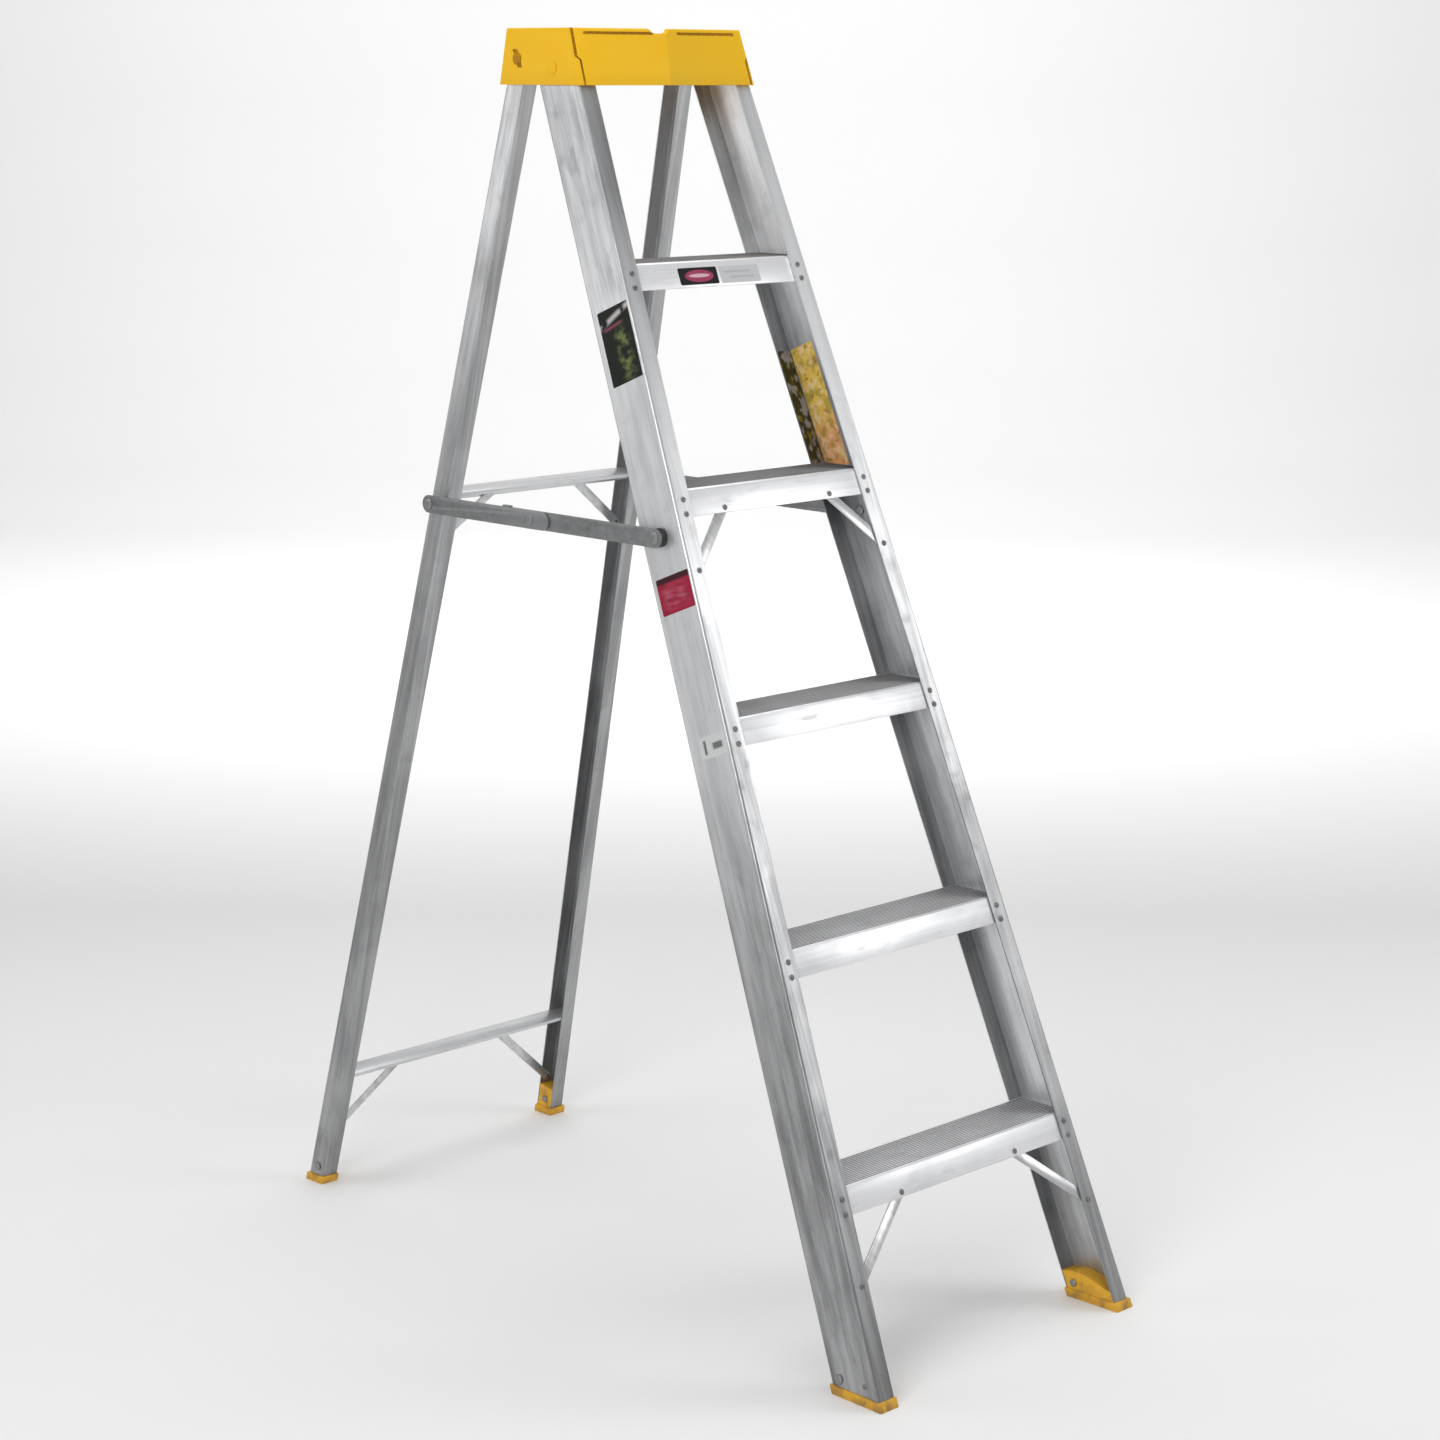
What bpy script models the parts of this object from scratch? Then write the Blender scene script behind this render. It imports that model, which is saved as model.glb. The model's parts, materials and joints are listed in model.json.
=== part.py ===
"""Aluminium A-frame step ladder: five steps, a moulded top cap and a folding rear frame.

Metres, +Z up, steps facing -Y, origin on the floor at the middle of the footprint.
The ladder stands open. The rear frame turns about the X axis inside the top cap, and a
two-link spreader on each side holds the two frames apart.
"""
import math

import bmesh
import bpy
from mathutils import Vector

# ---------------------------------------------------------------- driving dimensions
STEP_COUNT = 5
STEP_PITCH = 0.3048             # twelve inches between treads, along the front rails
FIRST_TREAD_Z = 0.2585          # top of the lowest tread above the floor

BASE_DEPTH = 1.1808             # front edge of the front soles to rear edge of the rear soles
FRONT_LEAN = math.radians(21.84)
REAR_LEAN = math.radians(13.28)
PIVOT_Z = 1.652                 # rear frame's pivot, inside the cap
SPREADER_Z = 1.046
RAIL_TOP_Z = 1.664

FRONT_HALF_WIDTH = 0.2497       # outer face of a front rail at the floor
FRONT_TAPER = 0.0526            # half width lost per metre along the rails
FRONT_WEB = 0.0762              # depth of the channel
FRONT_FLANGE = 0.0281
FRONT_WALL = 0.0020
REAR_HALF_WIDTH = 0.2411
REAR_TAPER = 0.0501
REAR_WEB = 0.0327
REAR_FLANGE = 0.0251
REAR_WALL = 0.0017

RAIL_CORNER = 0.0035            # where web and flange meet, outside
INNER_FILLET = 0.0008
GAP = 0.0003                    # clearance between pieces that touch
SOLE_THICKNESS = 0.0115
SOLE_MARGIN = 0.0022            # how far a sole stands out around its rail
FRONT_PLUG = ((0.0, 0.024), (0.35, 0.034), (0.62, 0.039), (1.0, 0.035))   # (share, height)
REAR_PLUG = ((0.0, 0.044), (1.0, 0.049))

STEP_WALL = 0.0020
STEP_LIP = 0.0365               # front lip of a step, down the rail
STEP_REAR_LIP = 0.0200
STEP_NOSE = 0.0016              # bevel where the tread meets its front lip
STEP_BRACE_RISE = 0.0080        # upper rivet above the lip's lower edge
STEP_BRACE_INSET = 0.0166       # lower rivet in from the rail's outer face
STEP_BRACES = {"lower": (0, 0.113, 0.086), "upper": (3, 0.077, 0.070)}     # step, run, drop

BRACE_HEIGHT = 0.0200           # rear horizontal
BRACE_WALL = 0.0015
BRACE_FRONT_LIP = 0.0055
REAR_BRACES = {"lower": (0.1565, 0.128, 0.099), "upper": (1.0420, 0.100, 0.064)}   # level, run, drop
REAR_KNEE_INSET = 0.0150

STRAP_WALL = 0.0020
FRONT_STRAP_WIDTH = 0.0150
REAR_STRAP_WIDTH = 0.0130

LINK_WIDTH = 0.0250             # spreader link
LINK_WALL = 0.0026
LINK_GAP = 0.0004               # between the two links of a spreader
LINK_PLANE_X = 0.2003           # inner face of the inner link
FRONT_LINK_LENGTH = 0.2400      # front pivot to centre rivet
FRONT_LINK_TAIL = 0.0680        # link past the centre rivet
REAR_LINK_TAIL = 0.0380
STOP_TAB_REACH = 0.0400         # from the centre rivet to the stop tab, past the rear link's tail
STOP_TAB_LENGTH = 0.0150
STOP_TAB_WALL = 0.0020
STUD_RADIUS = 0.0040
STUD_HEAD = 0.0082              # radius of a formed head
CENTRE_HEAD = 0.0074            # radius of a centre rivet's head
STUD_HEAD_HEIGHT = 0.0024
HEAD_SHOULDER = (0.50, 0.92)    # shares of a head's height and radius where it rounds over
HEAD_CROWN = 0.55               # share of its radius at the top
TAIL_SHARE = 0.80               # size of a stud's formed tail beside its head
TAIL_SHOULDER = 0.30
TAIL_CROWN = 0.70
CAP_STUD_HEAD_HEIGHT = 0.0016
FOOT_BOLT_HEAD = 0.0066
FRONT_FOOT_BOLT = (0.80, 0.0215)  # share of the web from the front, level
REAR_FOOT_BOLT = (0.50, 0.0250)
HOLE_RADIUS = STUD_RADIUS + GAP
SPACER_RADIUS = 0.0125
SLEEVE_RADIUS = 0.0075

CAP_BOTTOM_Z = 1.618
CAP_TOP_Z = 1.692
CAP_HALF_BOTTOM = 0.1618
CAP_HALF_TOP = 0.1572
CAP_FRONT_BOTTOM = 0.0533       # Y of the front corners
CAP_FRONT_TOP = 0.0773
CAP_RIDGE_BOTTOM = 0.0518       # Y of the front face at the middle
CAP_RIDGE_TOP = 0.0640
CAP_REAR_BOTTOM = 0.2183
CAP_REAR_TOP = 0.2085
CAP_WALL = 0.0026
CAP_CORNER = 0.0060
CAP_RIM = 0.0090                # height of the rim around the tray
CAP_RIM_WIDTH = 0.0075
CAP_RIM_DRAFT = 0.0008          # the rim is this much thicker at the tray's floor
CAP_NOTCH_WIDTH = 0.0440
CAP_TRAY_HALF = 0.1380          # half width of the tray's opening at the back
CAP_STUD_Z = 1.6400

# ---------------------------------------------------------------- worked-out places
FRONT_WEB_LEVEL = FRONT_WEB / math.cos(FRONT_LEAN)
REAR_WEB_LEVEL = REAR_WEB / math.cos(REAR_LEAN)
FRONT_PLANE_Y = -BASE_DEPTH / 2 + SOLE_MARGIN
REAR_PLANE_Y = BASE_DEPTH / 2 - SOLE_MARGIN - REAR_WEB_LEVEL
PIVOT_Y = REAR_PLANE_Y + REAR_WEB_LEVEL / 2 - PIVOT_Z * math.tan(REAR_LEAN)
FRONT_LINK_PIVOT_Y = FRONT_PLANE_Y + FRONT_WEB_LEVEL / 2 + SPREADER_Z * math.tan(FRONT_LEAN)
REAR_LINK_PIVOT_Y = PIVOT_Y + (PIVOT_Z - SPREADER_Z) * math.tan(REAR_LEAN)
REAR_LINK_LENGTH = REAR_LINK_PIVOT_Y - FRONT_LINK_PIVOT_Y - FRONT_LINK_LENGTH
OUTER_LINK_X = LINK_PLANE_X + LINK_WALL + LINK_GAP
CAP_STUD_Y = FRONT_PLANE_Y + CAP_STUD_Z * math.tan(FRONT_LEAN) + FRONT_WEB_LEVEL / 2
SIDES = {"left": -1, "right": 1}
ROUND_SEGMENTS = 24

MATERIALS = {
    "mill_aluminium": ((0.62, 0.63, 0.64), 0.38, 1.0),
    "zinc_steel": ((0.50, 0.51, 0.52), 0.42, 1.0),
    "yellow_plastic": ((0.86, 0.50, 0.02), 0.45, 0.0),
    "orange_plastic": ((0.80, 0.42, 0.03), 0.50, 0.0),
    "black_plastic": ((0.02, 0.02, 0.02), 0.55, 0.0),
}


def clear_scene():
    for item in list(bpy.data.objects):
        bpy.data.objects.remove(item, do_unlink=True)


def material(name):
    """One Principled material for each finish, made the first time it is asked for."""
    found = bpy.data.materials.get(name)
    if found:
        return found
    colour, roughness, metallic = MATERIALS[name]
    made = bpy.data.materials.new(name)
    made.use_nodes = True
    shader = made.node_tree.nodes["Principled BSDF"]
    shader.inputs["Base Color"].default_value = (*colour, 1)
    shader.inputs["Roughness"].default_value = roughness
    shader.inputs["Metallic"].default_value = metallic
    made.diffuse_color = (*colour, 1)
    return made


def empty(name, location, lean=0.0):
    """An axis that pieces hang on: lean turns it about X."""
    holder = bpy.data.objects.new(name, None)
    holder.location = location
    holder.rotation_euler = (lean, 0, 0)
    bpy.context.scene.collection.objects.link(holder)
    return holder


def add_object(name, mesh_data, finish, parent=None, location=(0, 0, 0), smooth=True):
    """Turn a bmesh into a named object with its finish."""
    bmesh.ops.recalc_face_normals(mesh_data, faces=mesh_data.faces)
    mesh = bpy.data.meshes.new(name)
    mesh_data.to_mesh(mesh)
    mesh_data.free()
    if smooth:
        mesh.shade_smooth()
        mesh.set_sharp_from_angle(angle=math.radians(32))
    mesh.materials.append(material(finish))
    made = bpy.data.objects.new(name, mesh)
    made.location = location
    made.parent = parent
    bpy.context.scene.collection.objects.link(made)
    return made


def loft(rings):
    """A closed solid through rings of points that match one to one."""
    mesh_data = bmesh.new()
    loops = [[mesh_data.verts.new(point) for point in ring] for ring in rings]
    for lower, upper in zip(loops, loops[1:]):
        for index in range(len(lower)):
            after = (index + 1) % len(lower)
            mesh_data.faces.new((lower[index], lower[after], upper[after], upper[index]))
    mesh_data.faces.new(loops[0])
    mesh_data.faces.new(loops[-1])
    return mesh_data


def turned(profile, segments=ROUND_SEGMENTS):
    """A solid of revolution about X from (x, radius) points, closed at both ends."""
    rings = []
    for x, radius in profile:
        ring = []
        for index in range(segments):
            angle = 2 * math.pi * index / segments
            ring.append(Vector((x, radius * math.cos(angle), radius * math.sin(angle))))
        rings.append(ring)
    return loft(rings)


def arc(centre, radius, start, end, count):
    """Points of an arc in a profile plane; the angles are in degrees."""
    points = []
    for index in range(count + 1):
        angle = math.radians(start + (end - start) * index / count)
        points.append((centre[0] + radius * math.cos(angle), centre[1] + radius * math.sin(angle)))
    return points


def cutter(name, mesh_data, target, parent=None, location=(0, 0, 0)):
    """Cut a shape out of a target with an exact Boolean."""
    tool = add_object(name, mesh_data, "black_plastic", parent, location, smooth=False)
    tool.hide_render = True
    tool.display_type = "WIRE"
    cut = target.modifiers.new(name, "BOOLEAN")
    cut.operation = "DIFFERENCE"
    cut.solver = "EXACT"
    cut.object = tool
    return tool


def drill(name, target, location, length, radius=HOLE_RADIUS, parent=None):
    """A round hole along X, centred on a place."""
    half = length / 2
    return cutter(name, turned([(-half, radius), (half, radius)]), target, parent, location)


# ---------------------------------------------------------------- the two frames
class RailFrame:
    """One pair of rails: a leaning plane, with places given as (x, depth, along)."""

    def __init__(self, name, origin, lean, web, flange, wall, half_width, taper, front):
        self.holder = empty(name, origin, -lean)
        self.origin = Vector(origin)
        self.lean = lean
        self.web = web
        self.flange = flange
        self.wall = wall
        self.front = front                      # depth of the rails' front face
        self.half_width = half_width            # outer half width at the floor
        self.taper = taper
        self.floor = self.along(front, 0.0)

    def along(self, depth, z):
        """How far along the rails a given depth reaches a level."""
        rise = z - self.origin.z + depth * math.sin(self.lean)
        return rise / math.cos(self.lean)

    def half(self, along):
        """Outer half width at a place along the rails."""
        return self.half_width - self.taper * (along - self.floor)

    def place(self, side, inward, depth, z):
        """A point at a level, some way in from a rail's outer face."""
        along = self.along(depth, z)
        return Vector((side * (self.half(along) - inward), depth, along))


def channel_profile(web, flange, wall, front, radius=RAIL_CORNER):
    """A C section as (inward, depth) points: the web outside, the flanges pointing inward."""
    back = front + web
    inner = INNER_FILLET
    outside = [(flange, front)]
    outside += arc((radius, front + radius), radius, 270, 180, 4)
    outside += arc((radius, back - radius), radius, 180, 90, 4)
    outside += [(flange, back), (flange, back - wall)]
    inside = arc((wall + inner, back - wall - inner), inner, 90, 180, 3)
    inside += arc((wall + inner, front + wall + inner), inner, 180, 270, 3)
    return outside + inside + [(flange, front + wall)]


def rail(name, side, frame):
    """A rail, cut level above its sole and under the cap's tray."""
    profile = channel_profile(frame.web, frame.flange, frame.wall, frame.front)
    rings = []
    for level in (SOLE_THICKNESS + GAP, RAIL_TOP_Z):
        rings.append([frame.place(side, inward, depth, level) for inward, depth in profile])
    return add_object(name, loft(rings), "mill_aluminium", frame.holder)


def foot(name, side, frame, plug_heights):
    """A moulded boot: a sole under the rail and a plug inside its channel."""
    front, back = frame.front, frame.front + frame.web
    corners = ((-SOLE_MARGIN, front - SOLE_MARGIN),
               (frame.flange + SOLE_MARGIN, front - SOLE_MARGIN),
               (frame.flange + SOLE_MARGIN, back + SOLE_MARGIN),
               (-SOLE_MARGIN, back + SOLE_MARGIN))
    rings = []
    for level in (0.0, SOLE_THICKNESS):
        rings.append([frame.place(side, inward, depth, level) for inward, depth in corners])
    sole = add_object(name, loft(rings), "orange_plastic", frame.holder, smooth=False)
    inset = frame.wall + GAP
    root = SOLE_THICKNESS - SOLE_MARGIN
    span = frame.web - 2 * inset
    rings = []
    for share, height in plug_heights:
        depth = front + inset + span * share
        outline = ((inset, root), (frame.flange, root), (frame.flange, height), (inset, height))
        rings.append([frame.place(side, inward, depth, level) for inward, level in outline])
    plug = add_object(name + "_plug", loft(rings), "orange_plastic", frame.holder, smooth=False)
    plug.hide_render = True
    plug.display_type = "WIRE"
    join = sole.modifiers.new("plug", "BOOLEAN")
    join.operation = "UNION"
    join.solver = "EXACT"
    join.object = plug
    return sole


def strap(name, frame, start, end, width):
    """A flat strap with round ends between two rivets, each given as (x, depth, along)."""
    run = Vector((end[0] - start[0], end[2] - start[2]))
    heading = math.atan2(run.y, run.x)
    radius = width / 2
    outline = arc((0, 0), radius, 270, 90, 6) + arc((run.length, 0), radius, 90, -90, 6)
    rings = []
    for layer in (0, STRAP_WALL):
        ring = []
        for ahead, across in outline:
            share = min(max(ahead / run.length, 0), 1)
            x = start[0] + ahead * math.cos(heading) - across * math.sin(heading)
            along = start[2] + ahead * math.sin(heading) + across * math.cos(heading)
            depth = start[1] + (end[1] - start[1]) * share + layer
            ring.append(Vector((x, depth, along)))
        rings.append(ring)
    return add_object(name, loft(rings), "mill_aluminium", frame.holder, smooth=False)


# ---------------------------------------------------------------- front frame
def tread_level(index):
    """Height of a tread, the lowest being index 0."""
    return FIRST_TREAD_Z + index * STEP_PITCH * math.cos(FRONT_LEAN)


def step(name, index, frame):
    """A level tread with a lip down each side, reaching from web to web."""
    level = tread_level(index)
    front_out = frame.wall + GAP
    front_in = front_out + STEP_WALL
    back_out = frame.web - frame.wall - GAP
    back_in = back_out - STEP_WALL
    front_end = frame.along(front_out, level) - STEP_LIP
    back_end = frame.along(back_out, level) - STEP_REAR_LIP
    nose = front_out + STEP_NOSE
    section = [(front_out, frame.along(front_out, level - STEP_NOSE)),
               (nose, frame.along(nose, level)),
               (back_out, frame.along(back_out, level)),
               (back_out, back_end),
               (back_in, back_end),
               (back_in, frame.along(back_in, level - STEP_WALL)),
               (front_in, frame.along(front_in, level - STEP_WALL)),
               (front_in, front_end),
               (front_out, front_end)]
    rings = []
    for side in (-1, 1):
        ring = []
        for depth, along in section:
            half = frame.half(along) - frame.wall - 2 * GAP
            ring.append(Vector((side * half, depth, along)))
        rings.append(ring)
    return add_object(name, loft(rings), "mill_aluminium", frame.holder, smooth=False)


def step_brace(name, side, index, run, drop, frame):
    """A knee strap from behind a step's lip down to behind the rail's front flange."""
    lip_end = frame.along(frame.wall, tread_level(index)) - STEP_LIP
    top_along = lip_end + STEP_BRACE_RISE
    low_along = lip_end - drop
    low_x = frame.half(low_along) - STEP_BRACE_INSET
    behind_flange = frame.wall + GAP
    behind_lip = behind_flange + STEP_WALL + 3 * GAP
    start = (side * (low_x - run), behind_lip, top_along)
    end = (side * low_x, behind_flange, low_along)
    return strap(name, frame, start, end, FRONT_STRAP_WIDTH)


# ---------------------------------------------------------------- rear frame
def rear_brace(name, level, frame):
    """A horizontal with a deep back wall and a short front lip, open underneath."""
    front_out = frame.front + frame.wall + GAP
    front_in = front_out + BRACE_WALL
    back_out = frame.front + frame.web - frame.wall - GAP
    back_in = back_out - BRACE_WALL
    top = frame.along(0, level + BRACE_HEIGHT)
    under = top - BRACE_WALL
    section = [(front_out, top), (back_out, top),
               (back_out, top - BRACE_HEIGHT), (back_in, top - BRACE_HEIGHT),
               (back_in, under), (front_in, under),
               (front_in, top - BRACE_FRONT_LIP), (front_out, top - BRACE_FRONT_LIP)]
    rings = []
    for side in (-1, 1):
        ring = []
        for depth, along in section:
            half = frame.half(along) - frame.wall - 2 * GAP
            ring.append(Vector((side * half, depth, along)))
        rings.append(ring)
    return add_object(name, loft(rings), "mill_aluminium", frame.holder, smooth=False)


def rear_knee(name, side, level, run, drop, frame):
    """A knee strap from a rear brace's back wall down to the rail's rear flange."""
    inner_face = frame.front + frame.web - frame.wall - GAP - STRAP_WALL
    brace_face = inner_face - BRACE_WALL - 3 * GAP
    top_along = frame.along(0, level + BRACE_HEIGHT / 2)
    low_along = frame.along(0, level - drop)
    low_x = frame.half(low_along) - REAR_KNEE_INSET
    start = (side * (low_x - run), brace_face, top_along)
    end = (side * low_x, inner_face, low_along)
    return strap(name, frame, start, end, REAR_STRAP_WIDTH)


# ---------------------------------------------------------------- spreader
def spreader_link(name, side, holder, inner_x, ahead, length, tail):
    """A flat link from its pivot, at the holder, past the centre rivet; ahead is its way along Y."""
    radius = LINK_WIDTH / 2
    reach = length + tail - radius
    outline = arc((0, 0), radius, 270, 90, 8) + arc((reach, 0), radius, 90, -90, 8)
    rings = []
    for x in (inner_x, inner_x + LINK_WALL):
        rings.append([Vector((side * x, ahead * run, height)) for run, height in outline])
    made = add_object(name, loft(rings), "zinc_steel", holder)
    middle = side * (inner_x + LINK_WALL / 2)
    drill(name + "_hole", made, (middle, 0, 0), 4 * LINK_WALL, parent=holder)
    return made


def add_stop_tab(front_link, side, holder):
    """A tab bent from the inner link over the outer one, so the spreader can't sag past straight."""
    inner, outer = LINK_PLANE_X, OUTER_LINK_X + LINK_WALL
    edge = LINK_WIDTH / 2
    top = edge + GAP + STOP_TAB_WALL
    profile = ((inner, edge - STOP_TAB_WALL), (inner + LINK_WALL, edge - STOP_TAB_WALL),
               (inner + LINK_WALL, edge + GAP), (outer, edge + GAP), (outer, top), (inner, top))
    near = FRONT_LINK_LENGTH + STOP_TAB_REACH
    rings = []
    for y in (near, near + STOP_TAB_LENGTH):
        rings.append([Vector((side * x, y, height)) for x, height in profile])
    tab = add_object(front_link.name + "_tab", loft(rings), "zinc_steel", holder, smooth=False)
    tab.hide_render = True
    tab.display_type = "WIRE"
    join = front_link.modifiers.new("tab", "BOOLEAN")
    join.operation = "UNION"
    join.solver = "EXACT"
    join.object = tab


def round_piece(name, side, holder, profile, finish, location=(0, 0, 0)):
    """A turned piece about the X axis; its profile runs outwards from the ladder's middle."""
    mirrored = [(side * x, radius) for x, radius in profile]
    return add_object(name, turned(mirrored), finish, holder, location)


def stud_profile(inner_x, outer_x, head_radius=STUD_HEAD, head_height=STUD_HEAD_HEIGHT):
    """A riveted stud: a formed tail inside inner_x and a domed head outside outer_x."""
    tail_radius = head_radius * TAIL_SHARE
    tail_end = inner_x - head_height * TAIL_SHARE
    rise, shrink = HEAD_SHOULDER
    return [(tail_end, tail_radius * TAIL_CROWN), (inner_x - head_height * TAIL_SHOULDER, tail_radius),
            (inner_x, tail_radius), (inner_x, STUD_RADIUS), (outer_x, STUD_RADIUS),
            (outer_x, head_radius), (outer_x + head_height * rise, head_radius * shrink),
            (outer_x + head_height, head_radius * HEAD_CROWN)]


def dome_profile(seat_x, rise, radius=CENTRE_HEAD):
    """A rivet head that sits on a face; rise is negative for one that faces inward."""
    share, shrink = HEAD_SHOULDER
    profile = [(seat_x, radius), (seat_x + rise * share, radius * shrink),
               (seat_x + rise, radius * HEAD_CROWN)]
    return profile if rise > 0 else profile[::-1]


def tube(name, side, holder, inner_x, outer_x, radius, finish):
    """A spacer ring around a stud."""
    rings = []
    for x, ring_radius in ((inner_x, HOLE_RADIUS), (outer_x, HOLE_RADIUS), (outer_x, radius),
                           (inner_x, radius)):
        rings.append((side * x, ring_radius))
    mesh_data = turned_ring(rings)
    return add_object(name, mesh_data, finish, holder)


def turned_ring(profile, segments=ROUND_SEGMENTS):
    """A ring about X from a closed (x, radius) outline."""
    mesh_data = bmesh.new()
    loops = []
    for index in range(segments):
        angle = 2 * math.pi * index / segments
        loops.append([mesh_data.verts.new((x, radius * math.cos(angle), radius * math.sin(angle)))
                      for x, radius in profile])
    for index, ring in enumerate(loops):
        following = loops[(index + 1) % segments]
        for corner in range(len(profile)):
            after = (corner + 1) % len(profile)
            mesh_data.faces.new((ring[corner], ring[after], following[after], following[corner]))
    return mesh_data


def spreader(side_name, front, rear, rails):
    """Both links of one side, their studs, spacers and the two halves of the centre rivet."""
    side = SIDES[side_name]
    front_axis = empty("front_link_axis_" + side_name, (0, FRONT_LINK_PIVOT_Y, SPREADER_Z))
    rear_axis = empty("rear_link_axis_" + side_name, (0, REAR_LINK_PIVOT_Y, SPREADER_Z))
    front_link = spreader_link("spreader_front_link_" + side_name, side, front_axis, LINK_PLANE_X,
                               1, FRONT_LINK_LENGTH, FRONT_LINK_TAIL)
    add_stop_tab(front_link, side, front_axis)
    spreader_link("spreader_rear_link_" + side_name, side, rear_axis, OUTER_LINK_X,
                  -1, REAR_LINK_LENGTH, REAR_LINK_TAIL)
    head_seat = OUTER_LINK_X + LINK_WALL + GAP
    round_piece("centre_rivet_head_" + side_name, side, rear_axis,
                dome_profile(head_seat, STUD_HEAD_HEIGHT), "zinc_steel", (0, -REAR_LINK_LENGTH, 0))
    round_piece("centre_rivet_tail_" + side_name, side, front_axis,
                dome_profile(LINK_PLANE_X - GAP, -STUD_HEAD_HEIGHT), "zinc_steel",
                (0, FRONT_LINK_LENGTH, 0))
    for frame, axis, link_x, radius, finish, label in (
            (front, front_axis, LINK_PLANE_X, SPACER_RADIUS, "black_plastic", "front"),
            (rear, rear_axis, OUTER_LINK_X, SLEEVE_RADIUS, "zinc_steel", "rear")):
        depth = frame.front + frame.web / 2
        web_x = frame.half(frame.along(depth, SPREADER_Z))
        spacer_in = web_x + frame.taper * radius + 2 * GAP
        tube(f"{label}_spacer_{side_name}", side, axis, spacer_in, link_x - GAP, radius, finish)
        tail_seat = web_x - frame.wall - frame.taper * STUD_HEAD - 2 * GAP
        round_piece(f"{label}_stud_{side_name}", side, axis,
                    stud_profile(tail_seat, link_x + LINK_WALL + GAP), "zinc_steel")
        drill(f"{label}_stud_hole_{side_name}", rails[label, side_name],
              (side * web_x, axis.location.y, SPREADER_Z), 4 * STUD_HEAD)


# ---------------------------------------------------------------- top cap
def cap_outline(z, inset=0.0):
    """The cap's rounded outline at a level, its front face folded at the middle."""
    share = (z - CAP_BOTTOM_Z) / (CAP_TOP_Z - CAP_BOTTOM_Z)
    half = CAP_HALF_BOTTOM + (CAP_HALF_TOP - CAP_HALF_BOTTOM) * share - inset
    front = CAP_FRONT_BOTTOM + (CAP_FRONT_TOP - CAP_FRONT_BOTTOM) * share + inset
    ridge = CAP_RIDGE_BOTTOM + (CAP_RIDGE_TOP - CAP_RIDGE_BOTTOM) * share + inset
    rear = CAP_REAR_BOTTOM + (CAP_REAR_TOP - CAP_REAR_BOTTOM) * share - inset
    radius = max(CAP_CORNER - inset, 0.0010)
    points = arc((-half + radius, front + radius), radius, 180, 270, 4)
    points += [(0, ridge)]
    points += arc((half - radius, front + radius), radius, 270, 360, 4)
    points += arc((half - radius, rear - radius), radius, 0, 90, 4)
    points += arc((-half + radius, rear - radius), radius, 90, 180, 4)
    return [Vector((x, y, z)) for x, y in points]


def top_cap():
    """A moulded cap, open underneath, with a shallow tray on top and a notch at the front."""
    deck = CAP_TOP_Z - CAP_RIM
    tray_floor = cap_outline(CAP_TOP_Z, CAP_RIM_WIDTH + CAP_RIM_DRAFT)
    for point in tray_floor:
        point.z = deck
    rings = [cap_outline(deck - CAP_WALL, CAP_WALL), cap_outline(CAP_BOTTOM_Z, CAP_WALL),
             cap_outline(CAP_BOTTOM_Z), cap_outline(CAP_TOP_Z),
             cap_outline(CAP_TOP_Z, CAP_RIM_WIDTH), tray_floor]
    cap = add_object("top_cap", loft(rings), "yellow_plastic")
    half_notch = CAP_NOTCH_WIDTH / 2
    notch = [(-half_notch, CAP_TOP_Z + CAP_WALL), (half_notch, CAP_TOP_Z + CAP_WALL),
             (half_notch * 0.4, deck + GAP), (-half_notch * 0.4, deck + GAP)]
    front_y, tray_y = CAP_RIDGE_BOTTOM - CAP_RIM, CAP_FRONT_TOP + 2 * CAP_RIM_WIDTH
    rings = [[Vector((x, y, z)) for x, z in notch] for y in (front_y, tray_y)]
    cutter("cap_notch", loft(rings), cap)
    back = [(-CAP_TRAY_HALF, CAP_TOP_Z + CAP_WALL), (CAP_TRAY_HALF, CAP_TOP_Z + CAP_WALL),
            (CAP_TRAY_HALF, deck + GAP), (-CAP_TRAY_HALF, deck + GAP)]
    inner_y, outer_y = CAP_REAR_TOP - 2 * CAP_RIM_WIDTH, CAP_REAR_BOTTOM + CAP_RIM
    rings = [[Vector((x, y, z)) for x, z in back] for y in (inner_y, outer_y)]
    cutter("cap_tray_back", loft(rings), cap)
    return cap


def cap_half(z):
    """Outer half width of the cap at a level."""
    share = (z - CAP_BOTTOM_Z) / (CAP_TOP_Z - CAP_BOTTOM_Z)
    return CAP_HALF_BOTTOM + (CAP_HALF_TOP - CAP_HALF_BOTTOM) * share


def cap_stud(name, side_name, cap, target, frame, y, z, finish):
    """A stud along X through the cap's side wall and a rail's web."""
    side = SIDES[side_name]
    behind, above = y - frame.origin.y, z - frame.origin.z
    depth = behind * math.cos(frame.lean) - above * math.sin(frame.lean)
    web_x = frame.half(frame.along(depth, z))
    tilt = (CAP_HALF_BOTTOM - CAP_HALF_TOP) / (CAP_TOP_Z - CAP_BOTTOM_Z)
    head_seat = cap_half(z) + tilt * STUD_HEAD + GAP
    tail_seat = web_x - frame.wall - frame.taper * STUD_HEAD - 2 * GAP
    profile = stud_profile(tail_seat, head_seat, head_height=CAP_STUD_HEAD_HEIGHT)
    round_piece(name, side, None, profile, finish, (0, y, z))
    drill(name + "_web_hole", target, (side * web_x, y, z), 2 * STUD_HEAD)
    drill(name + "_cap_hole", cap, (side * (head_seat - CAP_WALL / 2), y, z), 4 * CAP_WALL)


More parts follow.
